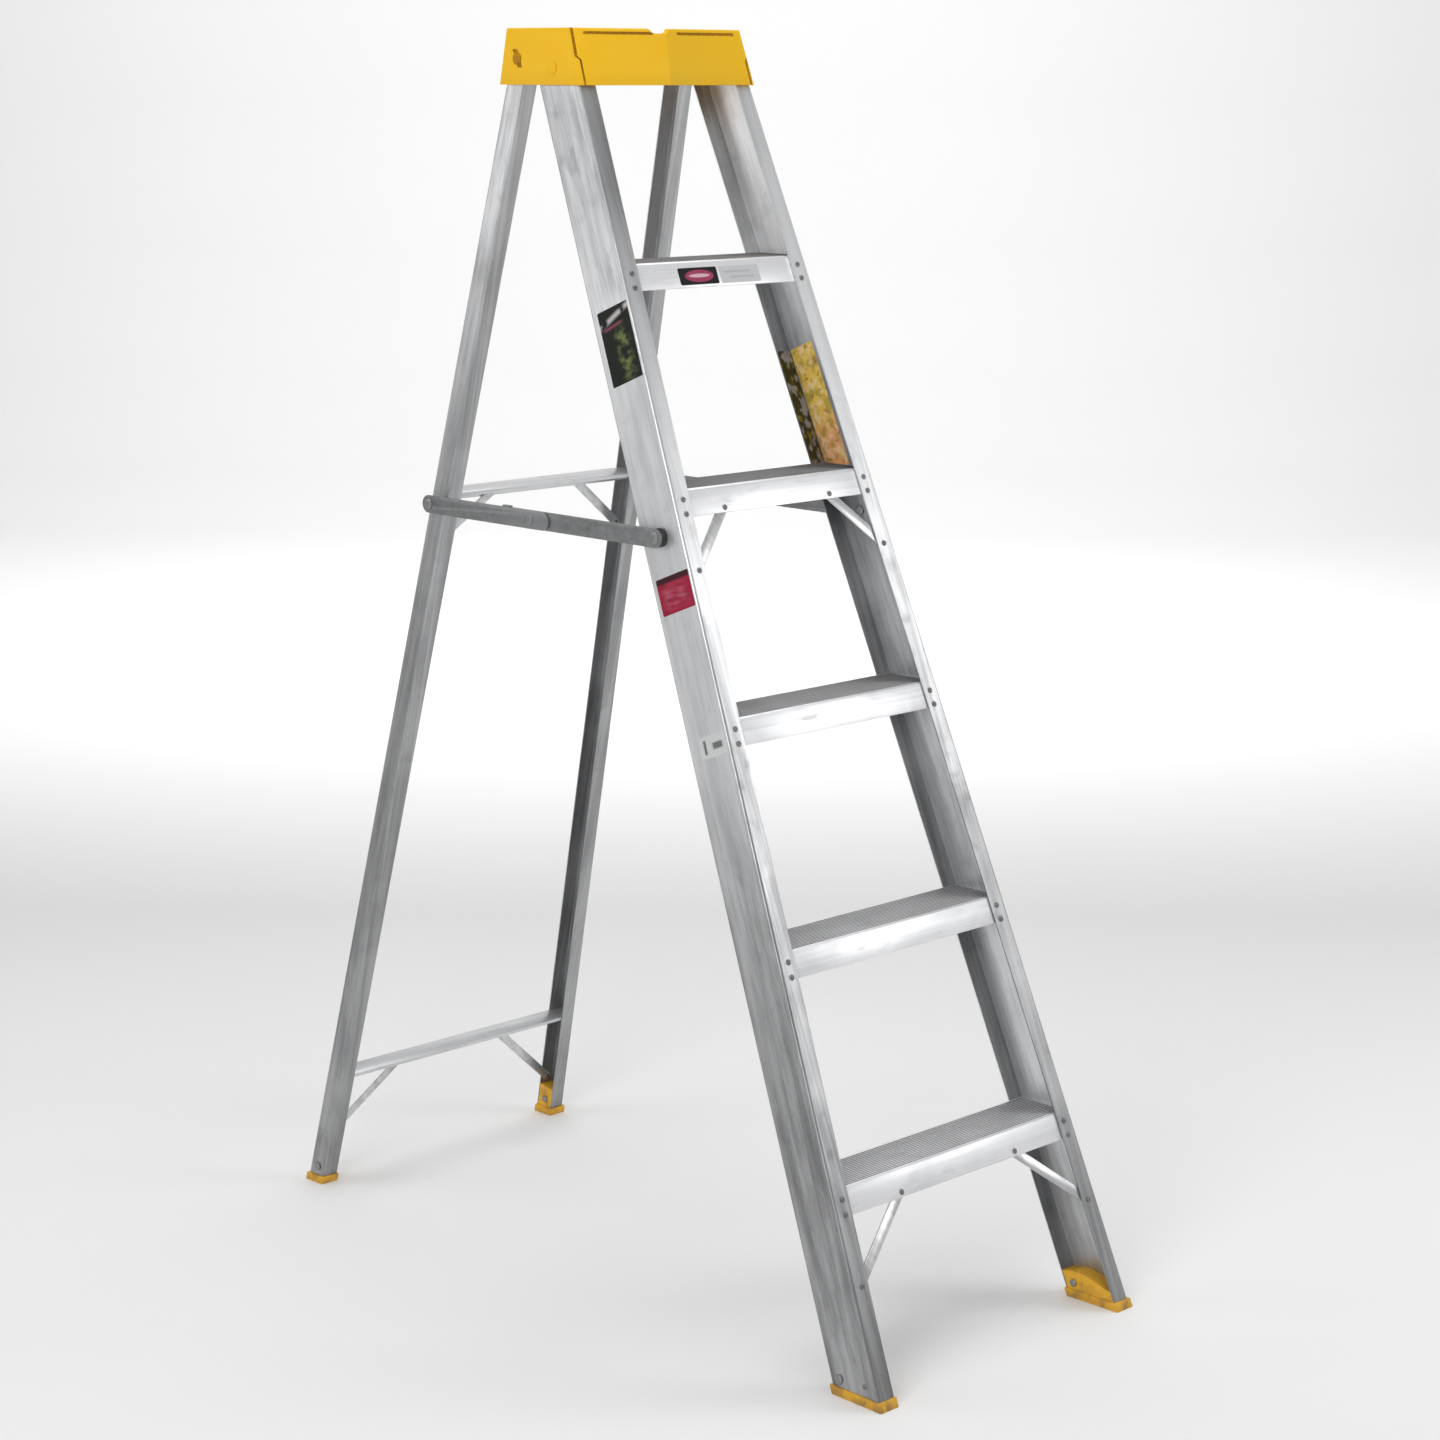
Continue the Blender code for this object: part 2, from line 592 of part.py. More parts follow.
def foot_bolt(name, side_name, frame, target, place):
    """A short bolt through the web and the boot's plug, its head outside."""
    side = SIDES[side_name]
    share, z = place
    depth = frame.front + frame.web * share
    along = frame.along(depth, z)
    web_x = frame.half(along)
    y = frame.origin.y + along * math.sin(frame.lean) + depth * math.cos(frame.lean)
    head_seat = web_x + frame.taper * STUD_HEAD + GAP
    tail_seat = web_x - frame.flange - frame.taper * STUD_HEAD - 2 * GAP
    profile = stud_profile(tail_seat, head_seat, FOOT_BOLT_HEAD)
    round_piece(name, side, None, profile, "zinc_steel", (0, y, z))
    middle = (head_seat + tail_seat) / 2
    for index, piece in enumerate(target):
        drill(f"{name}_hole_{index}", piece, (side * middle, y, z), 2 * frame.flange)


# ---------------------------------------------------------------- the whole ladder
def build():
    clear_scene()
    front = RailFrame("front_frame_plane", (0, FRONT_PLANE_Y, 0), FRONT_LEAN, FRONT_WEB,
                      FRONT_FLANGE, FRONT_WALL, FRONT_HALF_WIDTH, FRONT_TAPER, 0.0)
    rear = RailFrame("rear_frame_axis", (0, PIVOT_Y, PIVOT_Z), -REAR_LEAN, REAR_WEB,
                     REAR_FLANGE, REAR_WALL, REAR_HALF_WIDTH, REAR_TAPER, -REAR_WEB / 2)
    rails = {}
    for side_name, side in SIDES.items():
        rails["front", side_name] = rail("front_rail_" + side_name, side, front)
        rails["rear", side_name] = rail("rear_rail_" + side_name, side, rear)
    for index in range(STEP_COUNT):
        step(f"step_{index + 1}", index, front)
    for label, (level, _run, _drop) in REAR_BRACES.items():
        rear_brace(f"rear_brace_{label}", level, rear)
    cap = top_cap()
    for side_name, side in SIDES.items():
        for label, (index, run, drop) in STEP_BRACES.items():
            step_brace(f"step_brace_{label}_{side_name}", side, index, run, drop, front)
        for label, (level, run, drop) in REAR_BRACES.items():
            rear_knee(f"rear_knee_{label}_{side_name}", side, level, run, drop, rear)
        spreader(side_name, front, rear, rails)
        cap_stud("pivot_stud_" + side_name, side_name, cap, rails["rear", side_name], rear,
                 PIVOT_Y, PIVOT_Z, "zinc_steel")
        cap_stud("cap_stud_" + side_name, side_name, cap, rails["front", side_name], front,
                 CAP_STUD_Y, CAP_STUD_Z, "yellow_plastic")
        front_foot = foot("front_foot_" + side_name, side, front, FRONT_PLUG)
        rear_foot = foot("rear_foot_" + side_name, side, rear, REAR_PLUG)
        foot_bolt("front_foot_bolt_" + side_name, side_name, front,
                  (rails["front", side_name], front_foot), FRONT_FOOT_BOLT)
        foot_bolt("rear_foot_bolt_" + side_name, side_name, rear,
                  (rails["rear", side_name], rear_foot), REAR_FOOT_BOLT)


build()
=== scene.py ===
"""Looks of a folding aluminium step ladder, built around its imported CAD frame.

Laid out as an add-on and run as a script: every piece or group of like pieces has its own
operator, and main() calls them in order. Metres, +Z up, the steps facing -Y.
"""

import json
import math

import bmesh
import bpy
from bpy.props import FloatProperty, FloatVectorProperty, IntProperty, PointerProperty
from bpy.types import Operator, Panel, PropertyGroup
from mathutils import Matrix, Vector

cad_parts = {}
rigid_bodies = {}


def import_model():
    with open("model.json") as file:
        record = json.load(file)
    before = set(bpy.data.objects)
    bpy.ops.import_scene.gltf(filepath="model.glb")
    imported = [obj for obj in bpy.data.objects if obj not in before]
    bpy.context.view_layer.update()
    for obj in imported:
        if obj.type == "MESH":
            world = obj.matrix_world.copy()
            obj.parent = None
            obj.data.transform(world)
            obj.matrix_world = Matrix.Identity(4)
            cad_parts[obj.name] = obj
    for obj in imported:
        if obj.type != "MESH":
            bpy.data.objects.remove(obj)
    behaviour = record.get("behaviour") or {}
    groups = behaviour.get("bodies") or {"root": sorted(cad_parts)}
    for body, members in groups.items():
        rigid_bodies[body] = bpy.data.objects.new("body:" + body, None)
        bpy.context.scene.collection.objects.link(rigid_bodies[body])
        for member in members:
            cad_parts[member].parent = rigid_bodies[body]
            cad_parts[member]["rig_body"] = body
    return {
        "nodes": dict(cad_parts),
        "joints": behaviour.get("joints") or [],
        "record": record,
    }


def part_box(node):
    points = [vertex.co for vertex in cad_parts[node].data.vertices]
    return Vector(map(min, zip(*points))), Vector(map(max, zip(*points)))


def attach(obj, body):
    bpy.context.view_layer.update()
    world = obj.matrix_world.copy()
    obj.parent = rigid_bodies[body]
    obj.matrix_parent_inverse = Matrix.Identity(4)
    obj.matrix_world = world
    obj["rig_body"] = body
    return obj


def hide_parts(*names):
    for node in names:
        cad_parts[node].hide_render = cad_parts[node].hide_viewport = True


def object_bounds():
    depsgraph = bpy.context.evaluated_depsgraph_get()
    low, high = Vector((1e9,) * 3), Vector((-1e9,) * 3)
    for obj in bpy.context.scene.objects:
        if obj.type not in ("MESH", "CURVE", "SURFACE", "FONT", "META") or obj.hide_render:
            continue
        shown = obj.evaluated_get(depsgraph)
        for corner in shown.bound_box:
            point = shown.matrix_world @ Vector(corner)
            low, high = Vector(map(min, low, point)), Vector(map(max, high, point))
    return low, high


bl_info = {
    "name": "Step Ladder Looks",
    "version": (1, 0, 0),
    "blender": (4, 5, 0),
    "location": "View3D > Sidebar > Ladder",
    "description": "Builds the visible pieces and finishes of a folding step ladder",
    "category": "Object",
}

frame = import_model()
CAD_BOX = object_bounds()
TREADS = [mount["pos_m"] for mount in frame["record"]["mounts"] if mount["name"].startswith("tread")]
SIDES = {"left": -1, "right": 1}


# ---------------------------------------------------------------- sizes and colours
def colour_property(name, description, value):
    """A colour swatch; its values are linear light."""
    return FloatVectorProperty(name=name, description=description, default=value, subtype="COLOR",
                               min=0.0, max=1.0)


def length_property(name, description, value):
    return FloatProperty(name=name, description=description, default=value, unit="LENGTH", precision=4)


def angle_property(name, description, degrees):
    return FloatProperty(name=name, description=description, default=math.radians(degrees),
                         subtype="ANGLE")


class LadderSizes(PropertyGroup):
    """Sizes of the small work that the CAD frame leaves out."""

    rail_wall: length_property("Rail wall", "Wall of the front channels", 0.0020)
    rear_wall: length_property("Rear rail wall", "Wall of the rear channels", 0.0017)
    step_wall: length_property("Step wall", "Sheet that a step is bent from", 0.0020)
    brace_wall: length_property("Crossbar wall", "Sheet that a rear crossbar is bent from", 0.0015)
    strap_wall: length_property("Strap wall", "Sheet that a knee strap is cut from", 0.0020)
    clearance: length_property("Clearance", "Gap that touching pieces keep", 0.0003)
    front_strap_width: length_property("Front strap width", "Width of a step's knee strap", 0.0150)
    rear_strap_width: length_property("Rear strap width", "Width of a crossbar's knee strap", 0.0130)
    rivet_radius: length_property("Rivet radius", "Radius of a rivet's head", 0.0040)
    rivet_rise: length_property("Rivet rise", "Height of a rivet's head", 0.0019)
    rivet_inset: length_property("Rivet inset", "Rivet to the rail's outer face", 0.0166)
    rear_rivet_inset: length_property("Rear rivet inset", "Rivet to a rear rail's outer face", 0.0128)
    upper_rivet_drop: length_property("Upper rivet drop", "Tread down to its first rivet", 0.0116)
    lower_rivet_drop: length_property("Lower rivet drop", "Tread down to its second rivet", 0.0297)
    boot_rivet_depth: length_property("Boot rivet depth", "Rail's front face to the boot's rivet", 0.0180)
    boot_rivet_level: length_property("Boot rivet level", "Floor to the boot's rivet", 0.0255)
    rib_pitch: length_property("Rib pitch", "Spacing of the tread's grip ribs", 0.0045)
    rib_width: length_property("Rib width", "Width of a grip rib", 0.0016)
    rib_height: length_property("Rib height", "Height of a grip rib", 0.0007)
    rib_margin: length_property("Rib margin", "Plain metal around the ribs", 0.0060)
    label_thickness: length_property("Label thickness", "Vinyl label", 0.00025)
    label_corner: length_property("Label corner", "Radius of a label's corners", 0.0020)
    sheet_edge: length_property("Sheet edge", "Rounding of cut and bent sheet edges", 0.0004)
    boot_edge: length_property("Boot edge", "Rounding of the moulded boots", 0.0011)


class CapSizes(PropertyGroup):
    """Shape of the moulded top cap; levels are measured down from its top."""

    wall: length_property("Wall", "Moulded wall", 0.0026)
    rim: length_property("Rim", "Height of the rim over the tray", 0.0090)
    rim_width: length_property("Rim width", "Thickness of the rim", 0.0075)
    corner: length_property("Corner", "Radius of the upright corners", 0.0060)
    crown: length_property("Crown", "Rounding of the rim's edges", 0.0018)
    front_bottom: length_property("Front bottom", "Front corners at the bottom, along Y", 0.0533)
    front_top: length_property("Front top", "Front corners at the top, along Y", 0.0773)
    fold_bottom: length_property("Fold bottom", "Middle of the front at the bottom", 0.0518)
    fold_top: length_property("Fold top", "Middle of the front at the top", 0.0640)
    rear_bottom: length_property("Rear bottom", "Back at the bottom, along Y", 0.2183)
    rear_top: length_property("Rear top", "Back at the top, along Y", 0.2085)
    notch_width: length_property("Notch width", "Notch in the front rim", 0.0430)
    notch_middle: length_property("Notch middle", "Middle of the notch, along X", -0.0110)
    tray_half: length_property("Tray half width", "Opening at the back of the tray", 0.1380)
    groove_half: length_property("Groove half width", "Half of the corner grooves' width", 0.0017)
    groove_kink: length_property("Groove kink", "Top down to the kink of a corner groove", 0.0370)
    groove_step: length_property("Groove step", "Sideways step of a corner groove", 0.0052)
    slot_drop: length_property("Slot drop", "Top down to the slot under the front rim", 0.0046)
    slot_height: length_property("Slot height", "Height of that slot", 0.0038)
    slot_depth: length_property("Slot depth", "Depth of that slot", 0.0018)


class LadderColours(PropertyGroup):
    """Linear colours of the finishes."""

    aluminium: colour_property("Aluminium", "Clean mill aluminium", (0.90, 0.91, 0.925))
    aluminium_dull: colour_property("Dull aluminium", "Handled, oxidised aluminium", (0.36, 0.365, 0.375))
    step: colour_property("Step", "Step sheet", (0.88, 0.885, 0.905))
    # dark grey: partly trodden dirt, partly painted shade of the ribs on one another
    tread: colour_property("Tread", "Trodden grip ribs", (0.22, 0.22, 0.222))
    zinc: colour_property("Zinc", "Zinc plate", (0.30, 0.305, 0.31))
    zinc_dark: colour_property("Dark zinc", "Tarnished plate", (0.10, 0.10, 0.105))
    yellow: colour_property("Yellow", "Cap plastic", (0.92, 0.515, 0.006))
    yellow_worn: colour_property("Worn yellow", "Cap plastic where it is rubbed", (0.93, 0.56, 0.022))
    # painted shade: the cap's yellow darkened for the shade in its grooves, slots and recesses
    yellow_recess_shade: colour_property("Deep yellow", "Cap plastic in grooves and recesses", (0.34, 0.15, 0.006))
    orange: colour_property("Orange", "Boot plastic", (0.80, 0.42, 0.02))
    orange_soiled: colour_property("Soiled orange", "Boot plastic near the floor", (0.34, 0.19, 0.04))
    black: colour_property("Black", "Spacer plastic", (0.015, 0.015, 0.016))


class StageSettings(PropertyGroup):
    """Camera and lights."""

    azimuth: angle_property("Azimuth", "Camera's heading round the ladder", -44.73)
    elevation: angle_property("Elevation", "Camera's look down", 11.66)
    roll: angle_property("Roll", "Camera's roll", 0.243)
    lens: FloatProperty(name="Lens", description="Focal length on a 36 mm sensor, in mm", default=78.94)
    eye: FloatVectorProperty(name="Eye", description="Where the camera stands", subtype="TRANSLATION",
                             default=(-2.9833, -3.0572, 1.6404))
    side_power: FloatProperty(name="Side", description="Softbox behind on the left, in watts", default=10.0)
    front_power: FloatProperty(name="Front", description="Softbox ahead on the right, in watts", default=26.0)
    fill_power: FloatProperty(name="Fill", description="Softbox ahead on the left, in watts", default=52.0)
    top_power: FloatProperty(name="Top", description="Overhead softbox, in watts", default=70.0)
    back_power: FloatProperty(name="Backdrop", description="Light on the backdrop, in watts", default=300.0)
    sky: FloatProperty(name="Surround", description="Strength of the plain surround", default=0.33)
    floor_tone: FloatProperty(name="Floor tone", description="Reflectance of the floor", default=0.90)
    labels_seed: IntProperty(name="Label pattern", description="Pattern offset of the labels", default=3)


def sizes():
    return bpy.context.scene.ladder_sizes


def cap_sizes():
    return bpy.context.scene.ladder_cap


def colours():
    return bpy.context.scene.ladder_colours


# ---------------------------------------------------------------- places on the frame
class Rails:
    """One frame's pair of channels, read from its CAD boxes.

    depth runs square to the rails from their front face, along runs up the rails.
    """

    def __init__(self, name, lowest_bar, highest_bar):
        low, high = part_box(f"{name}_rail_left")
        first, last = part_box(lowest_bar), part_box(highest_bar)
        rise = last[1].z - first[1].z
        self.lean = math.atan2(last[1].y - first[1].y, rise)
        self.taper = (first[1].x - last[1].x) * math.cos(self.lean) / rise
        slope = math.tan(self.lean)
        self.web = (high.y - low.y - (high.z - low.z) * abs(slope)) * math.cos(self.lean)
        self.anchor = Vector((0, low.y, low.z if slope > 0 else high.z))
        widest = (low.z - self.anchor.z + min(0, self.web * math.sin(self.lean))) / math.cos(self.lean)
        self.half_at_anchor = -low.x + self.taper * widest
        self.front_normal = Vector((0, -math.cos(self.lean), math.sin(self.lean)))

    def along(self, depth, level):
        return (level - self.anchor.z + depth * math.sin(self.lean)) / math.cos(self.lean)

    def half(self, along):
        """Outer half width at a place along the rails."""
        return self.half_at_anchor - self.taper * along

    def point(self, x, depth, along):
        forward = along * math.sin(self.lean) + depth * math.cos(self.lean)
        upward = along * math.cos(self.lean) - depth * math.sin(self.lean)
        return self.anchor + Vector((x, forward, upward))

    def at_level(self, x, depth, level):
        return self.point(x, depth, self.along(depth, level))

    def on_rail(self, side, inward, depth, level):
        """A place at a level, some way in from a rail's outer face."""
        along = self.along(depth, level)
        return self.point(side * (self.half(along) - inward), depth, along)


FRONT = Rails("front", "step_1", f"step_{len(TREADS)}")
REAR = Rails("rear", "rear_brace_lower", "rear_brace_upper")


# ---------------------------------------------------------------- meshes
def add_piece(name, mesh_data, finish):
    """Turn a bmesh into a piece with one finish."""
    mesh = bpy.data.meshes.new(name)
    mesh_data.to_mesh(mesh)
    mesh_data.free()
    mesh.materials.append(finish)
    piece = bpy.data.objects.new(name, mesh)
    bpy.context.scene.collection.objects.link(piece)
    return piece


def shade(piece, degrees=32):
    """Smooth faces, with edges sharper than the angle kept crisp."""
    piece.data.shade_smooth()
    piece.data.set_sharp_from_angle(angle=math.radians(degrees))


def loft(rings):
    """Skin matching rings of points and close both ends, with the faces turned outwards."""
    mesh_data = bmesh.new()
    loops = [[mesh_data.verts.new(point) for point in ring] for ring in rings]
    for lower, upper in zip(loops, loops[1:]):
        for index in range(len(lower)):
            after = (index + 1) % len(lower)
            mesh_data.faces.new((lower[index], lower[after], upper[after], upper[index]))
    mesh_data.faces.new(loops[0])
    mesh_data.faces.new(loops[-1])
    bmesh.ops.recalc_face_normals(mesh_data, faces=mesh_data.faces)
    return mesh_data


def bar_through(rows, span):
    """The closed (x, level) outline rows, drawn out from one Y to another."""
    return loft([[Vector((x, y, z)) for x, z in rows] for y in span])


def arc(centre, radius, start, end, count):
    """Points of an arc, its angles in degrees."""
    points = []
    for index in range(count + 1):
        angle = math.radians(start + (end - start) * index / count)
        points.append((centre[0] + radius * math.cos(angle), centre[1] + radius * math.sin(angle)))
    return points


def settle(piece):
    """Swap a piece's mesh for what its modifiers make, and drop them."""
    evaluated = piece.evaluated_get(bpy.context.evaluated_depsgraph_get())
    mesh = bpy.data.meshes.new_from_object(evaluated)
    piece.modifiers.clear()
    piece.data = mesh


def cut(piece, tools, finish):
    """Cut closed shapes out of a piece, with a finish for the cut faces, then remove the tools."""
    made = []
    for index, mesh_data in enumerate(tools):
        tool = add_piece(f"{piece.name}_tool_{index}", mesh_data, finish)
        step = piece.modifiers.new(tool.name, "BOOLEAN")
        step.operation = "DIFFERENCE"
        step.solver = "EXACT"
        step.material_mode = "TRANSFER"
        step.object = tool
        made.append(tool)
    settle(piece)
    for tool in made:
        bpy.data.objects.remove(tool, do_unlink=True)


def soften(node, edge, finish):
    """A copy of a CAD node with its cut edges rounded, standing for that node."""
    mesh_data = bmesh.new()
    mesh_data.from_mesh(frame["nodes"][node].data)
    bmesh.ops.remove_doubles(mesh_data, verts=mesh_data.verts, dist=1e-6)
    bmesh.ops.dissolve_limit(mesh_data, angle_limit=math.radians(1), verts=mesh_data.verts,
                             edges=mesh_data.edges)
    piece = add_piece(node + "_finished", mesh_data, finish)
    bevel = piece.modifiers.new("rounded edges", "BEVEL")
    bevel.width = edge
    bevel.segments = 2
    bevel.limit_method = "ANGLE"
    bevel.angle_limit = math.radians(32)
    settle(piece)
    shade(piece)
    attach(piece, frame["nodes"][node]["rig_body"])
    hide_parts(node)
    return piece


def paint(node, finish):
    """Give a CAD node a finish as it stands."""
    materials = frame["nodes"][node].data.materials
    materials.clear()
    materials.append(finish)


def nodes_named(*starts):
    """CAD nodes whose names begin with one of the given words."""
    return [name for name in sorted(frame["nodes"]) if name.startswith(starts)]


# ---------------------------------------------------------------- repeated work
class Nodes:
    """A node tree with one way of adding a node: kind, settings, then sockets."""

    def __init__(self, tree):
        self.tree = tree

    def add(self, kind, settings=None, inputs=None):
        node = self.tree.nodes.new(kind)
        for name, value in (settings or {}).items():
            if name == "stops":
                self.set_stops(node.color_ramp, value)
            else:
                setattr(node, name, value)
        for name, value in (inputs or {}).items():
            self.feed(node.inputs[name], value)
        return node

    def set_stops(self, ramp, stops):
        """Give a ramp its (position, grey value) stops."""
        while len(ramp.elements) < len(stops):
            ramp.elements.new(0.5)
        for element, (position, value) in zip(ramp.elements, stops):
            element.position = position
            element.color = (value, value, value, 1)

    def feed(self, socket, value):
        if isinstance(value, Number):
            value = value.socket
        if isinstance(value, bpy.types.NodeSocket):
            self.tree.links.new(value, socket)
        else:
            socket.default_value = value


def geometry_tree(name, inputs):
    """An empty modifier tree with named inputs; gives its nodes and the group input."""
    tree = bpy.data.node_groups.new(name, "GeometryNodeTree")
    tree.interface.new_socket("Geometry", in_out="INPUT", socket_type="NodeSocketGeometry")
    for label, kind in inputs.items():
        tree.interface.new_socket(label, in_out="INPUT", socket_type="NodeSocket" + kind)
    tree.interface.new_socket("Geometry", in_out="OUTPUT", socket_type="NodeSocketGeometry")
    nodes = Nodes(tree)
    return nodes, nodes.add("NodeGroupInput")


def finish_tree(nodes, geometry, finish):
    """Close a modifier tree: realise what it repeats and give it its finish."""
    realised = nodes.add("GeometryNodeRealizeInstances", inputs={"Geometry": geometry})
    dressed = nodes.add("GeometryNodeSetMaterial",
                        inputs={"Geometry": realised.outputs["Geometry"], "Material": finish})
    nodes.add("NodeGroupOutput", inputs={"Geometry": dressed.outputs["Geometry"]})
    return nodes.tree


def run_tree(piece, tree, values):
    """Run a modifier tree on a piece and keep the plain mesh that it makes."""
    modifier = piece.modifiers.new(tree.name, "NODES")
    modifier.node_group = tree
    for socket in tree.interface.items_tree:
        if socket.in_out == "INPUT" and socket.name in values:
            modifier[socket.identifier] = values[socket.name]
    settle(piece)


def rib_tree():
    """Turns each edge of a mesh into a low rounded rib."""
    nodes, given = geometry_tree("Grip ribs", {"Width": "Float", "Height": "Float", "Finish": "Material"})
    lines = nodes.add("GeometryNodeMeshToCurve", inputs={"Mesh": given.outputs["Geometry"]})
    outline = nodes.add("GeometryNodeCurvePrimitiveCircle", inputs={"Resolution": 8, "Radius": 0.5})
    shape = nodes.add("ShaderNodeCombineXYZ", inputs={"X": given.outputs["Height"],
                                                      "Y": given.outputs["Width"], "Z": 1.0})
    squeezed = nodes.add("GeometryNodeTransform", inputs={"Geometry": outline.outputs["Curve"],
                                                          "Scale": shape.outputs["Vector"]})
    ribs = nodes.add("GeometryNodeCurveToMesh",
                     inputs={"Curve": lines.outputs["Curve"],
                             "Profile Curve": squeezed.outputs["Geometry"], "Fill Caps": True})
    return finish_tree(nodes, ribs.outputs["Mesh"], given.outputs["Finish"])


def rivet_tree():
    """Sets a turned head on each point, along its facing and as large as its size."""
    nodes, given = geometry_tree("Rivets", {"Head": "Object", "Radius": "Float", "Rise": "Float",
                                            "Finish": "Material"})
    head = nodes.add("GeometryNodeObjectInfo", inputs={"Object": given.outputs["Head"], "As Instance": True})
    facing = nodes.add("GeometryNodeInputNamedAttribute", {"data_type": "FLOAT_VECTOR"}, {"Name": "facing"})
    turn = nodes.add("FunctionNodeAlignRotationToVector", {"axis": "Z"},
                     {"Vector": facing.outputs["Attribute"]})
    size = nodes.add("GeometryNodeInputNamedAttribute", {"data_type": "FLOAT"}, {"Name": "size"})
    shape = nodes.add("ShaderNodeCombineXYZ", inputs={"X": given.outputs["Radius"],
                                                      "Y": given.outputs["Radius"],
                                                      "Z": given.outputs["Rise"]})
    scale = nodes.add("ShaderNodeVectorMath", {"operation": "SCALE"},
                      {"Vector": shape.outputs["Vector"], "Scale": size.outputs["Attribute"]})
    heads = nodes.add("GeometryNodeInstanceOnPoints",
                      inputs={"Points": given.outputs["Geometry"], "Instance": head.outputs["Geometry"],
                              "Rotation": turn.outputs["Rotation"], "Scale": scale.outputs["Vector"]})
    return finish_tree(nodes, heads.outputs["Instances"], given.outputs["Finish"])


def rivet_head(finish):
    """A unit rivet head: a rounded flange with a shallow pin hole in its crown."""
    profile = [(1.00, 0.0), (1.00, 0.24), (0.93, 0.48), (0.74, 0.78), (0.48, 0.98), (0.36, 1.0),
               (0.30, 0.86), (0.26, 0.55)]
    sides = 16
    rings = [[Vector((x, y, height)) for x, y in arc((0, 0), radius, 0, 360 - 360 / sides, sides - 1)]
             for radius, height in profile]
    head = add_piece("rivet_head_pattern", loft(rings), finish)
    shade(head, 40)
    return head


# ---------------------------------------------------------------- shader maths
class Number:
    """A shader socket that is used like a number: each operator adds a Math node."""

    def __init__(self, nodes, socket):
        self.nodes = nodes
        self.socket = socket

    def _math(self, operation, *values):
        node = self.nodes.add("ShaderNodeMath", {"operation": operation})
        for socket, value in zip(node.inputs, values):
            self.nodes.feed(socket, value)
        return Number(self.nodes, node.outputs["Value"])

    def __add__(self, other):
        return self._math("ADD", self, other)

    __radd__ = __add__

    def __sub__(self, other):
        return self._math("SUBTRACT", self, other)

    def __rsub__(self, other):
        return self._math("SUBTRACT", other, self)

    def __mul__(self, other):
        return self._math("MULTIPLY", self, other)

    __rmul__ = __mul__

    def __truediv__(self, other):
        return self._math("DIVIDE", self, other)

    def __rtruediv__(self, other):
        return self._math("DIVIDE", other, self)

    def distance(self):
        return self._math("ABSOLUTE", self)

    def ramp(self, low, high):
        """0 below low, 1 above high, smooth between; either may be the larger."""
        node = self.nodes.add("ShaderNodeMapRange", {"interpolation_type": "SMOOTHSTEP"},
                              {"Value": self, "From Min": low, "From Max": high})
        return Number(self.nodes, node.outputs["Result"])

    def between(self, low, high, soft):
        """1 from low to high, 0 outside, with soft ends."""
        return self.ramp(low, low + soft) * self.ramp(high, high - soft)

    def curve(self, stops):
        """A ramp through (position, value) stops."""
        node = self.nodes.add("ShaderNodeValToRGB", {"stops": stops}, {"Fac": self})
        return Number(self.nodes, node.outputs["Color"])


class Finish(Nodes):
    """A material under construction around one Principled shader."""

    def __init__(self, name, roughness, metallic=0.0, specular=0.5):
        self.material = bpy.data.materials.new(name)
        self.material.use_nodes = True
        super().__init__(self.material.node_tree)
        self.shader = self.tree.nodes["Principled BSDF"]
        self.shader.inputs["Roughness"].default_value = roughness
        self.shader.inputs["Metallic"].default_value = metallic
        self.shader.inputs["Specular IOR Level"].default_value = specular
        self.place = self.add("ShaderNodeTexCoord").outputs["Object"]

    def stretched(self, scale, lean=0.0, swing=0.0):
        """Object coordinates laid along a piece and scaled along its own axes."""
        turned = self.add("ShaderNodeMapping", inputs={"Vector": self.place, "Rotation": (lean, swing, 0)})
        mapping = self.add("ShaderNodeMapping", inputs={"Vector": turned.outputs["Vector"], "Scale": scale})
        return mapping.outputs["Vector"]

    def noise(self, vector, scale=1.0, detail=3.0, distortion=0.0):
        node = self.add("ShaderNodeTexNoise", inputs={"Vector": vector, "Scale": scale, "Detail": detail,
                                                      "Distortion": distortion})
        return Number(self, node.outputs["Fac"])

    def axis(self, name, vector=None):
        node = self.add("ShaderNodeSeparateXYZ", inputs={"Vector": vector or self.place})
        return Number(self, node.outputs[name])

    def depth(self, rails):
        """How far a place lies behind the front face of the rails."""
        across = self.axis("Y") * math.cos(rails.lean) - self.axis("Z") * math.sin(rails.lean)
        return across - (rails.anchor.y * math.cos(rails.lean) - rails.anchor.z * math.sin(rails.lean))

    def blend(self, factor, first, second):
        """first where factor is 0, second where it is 1; colours or colour sockets."""
        node = self.add("ShaderNodeMix", {"data_type": "RGBA"})
        self.feed(node.inputs["Factor"], factor)
        for label, value in (("A", first), ("B", second)):
            socket = next(s for s in node.inputs if s.name == label and s.type == "RGBA")
            self.feed(socket, value if isinstance(value, bpy.types.NodeSocket) else (*value, 1))
        return next(s for s in node.outputs if s.type == "RGBA")

    def coat(self, colour, roughness=None, height=None, strength=0.3, reach=0.0005):
        """Connect the finished colour, roughness and relief."""
        self.feed(self.shader.inputs["Base Color"], colour)
        if roughness is not None:
            self.feed(self.shader.inputs["Roughness"], roughness)
        if height is not None:
            bump = self.add("ShaderNodeBump", inputs={"Height": height, "Strength": strength,
                                                      "Distance": reach})
            self.feed(self.shader.inputs["Normal"], bump.outputs["Normal"])
        return self.material


def made_once(build):
    """Keep the material that a function builds, and hand it back on later calls."""
    kept = {}

    def fetch(*details):
        if details not in kept:
            kept[details] = build(*details)
        return kept[details]

    return fetch


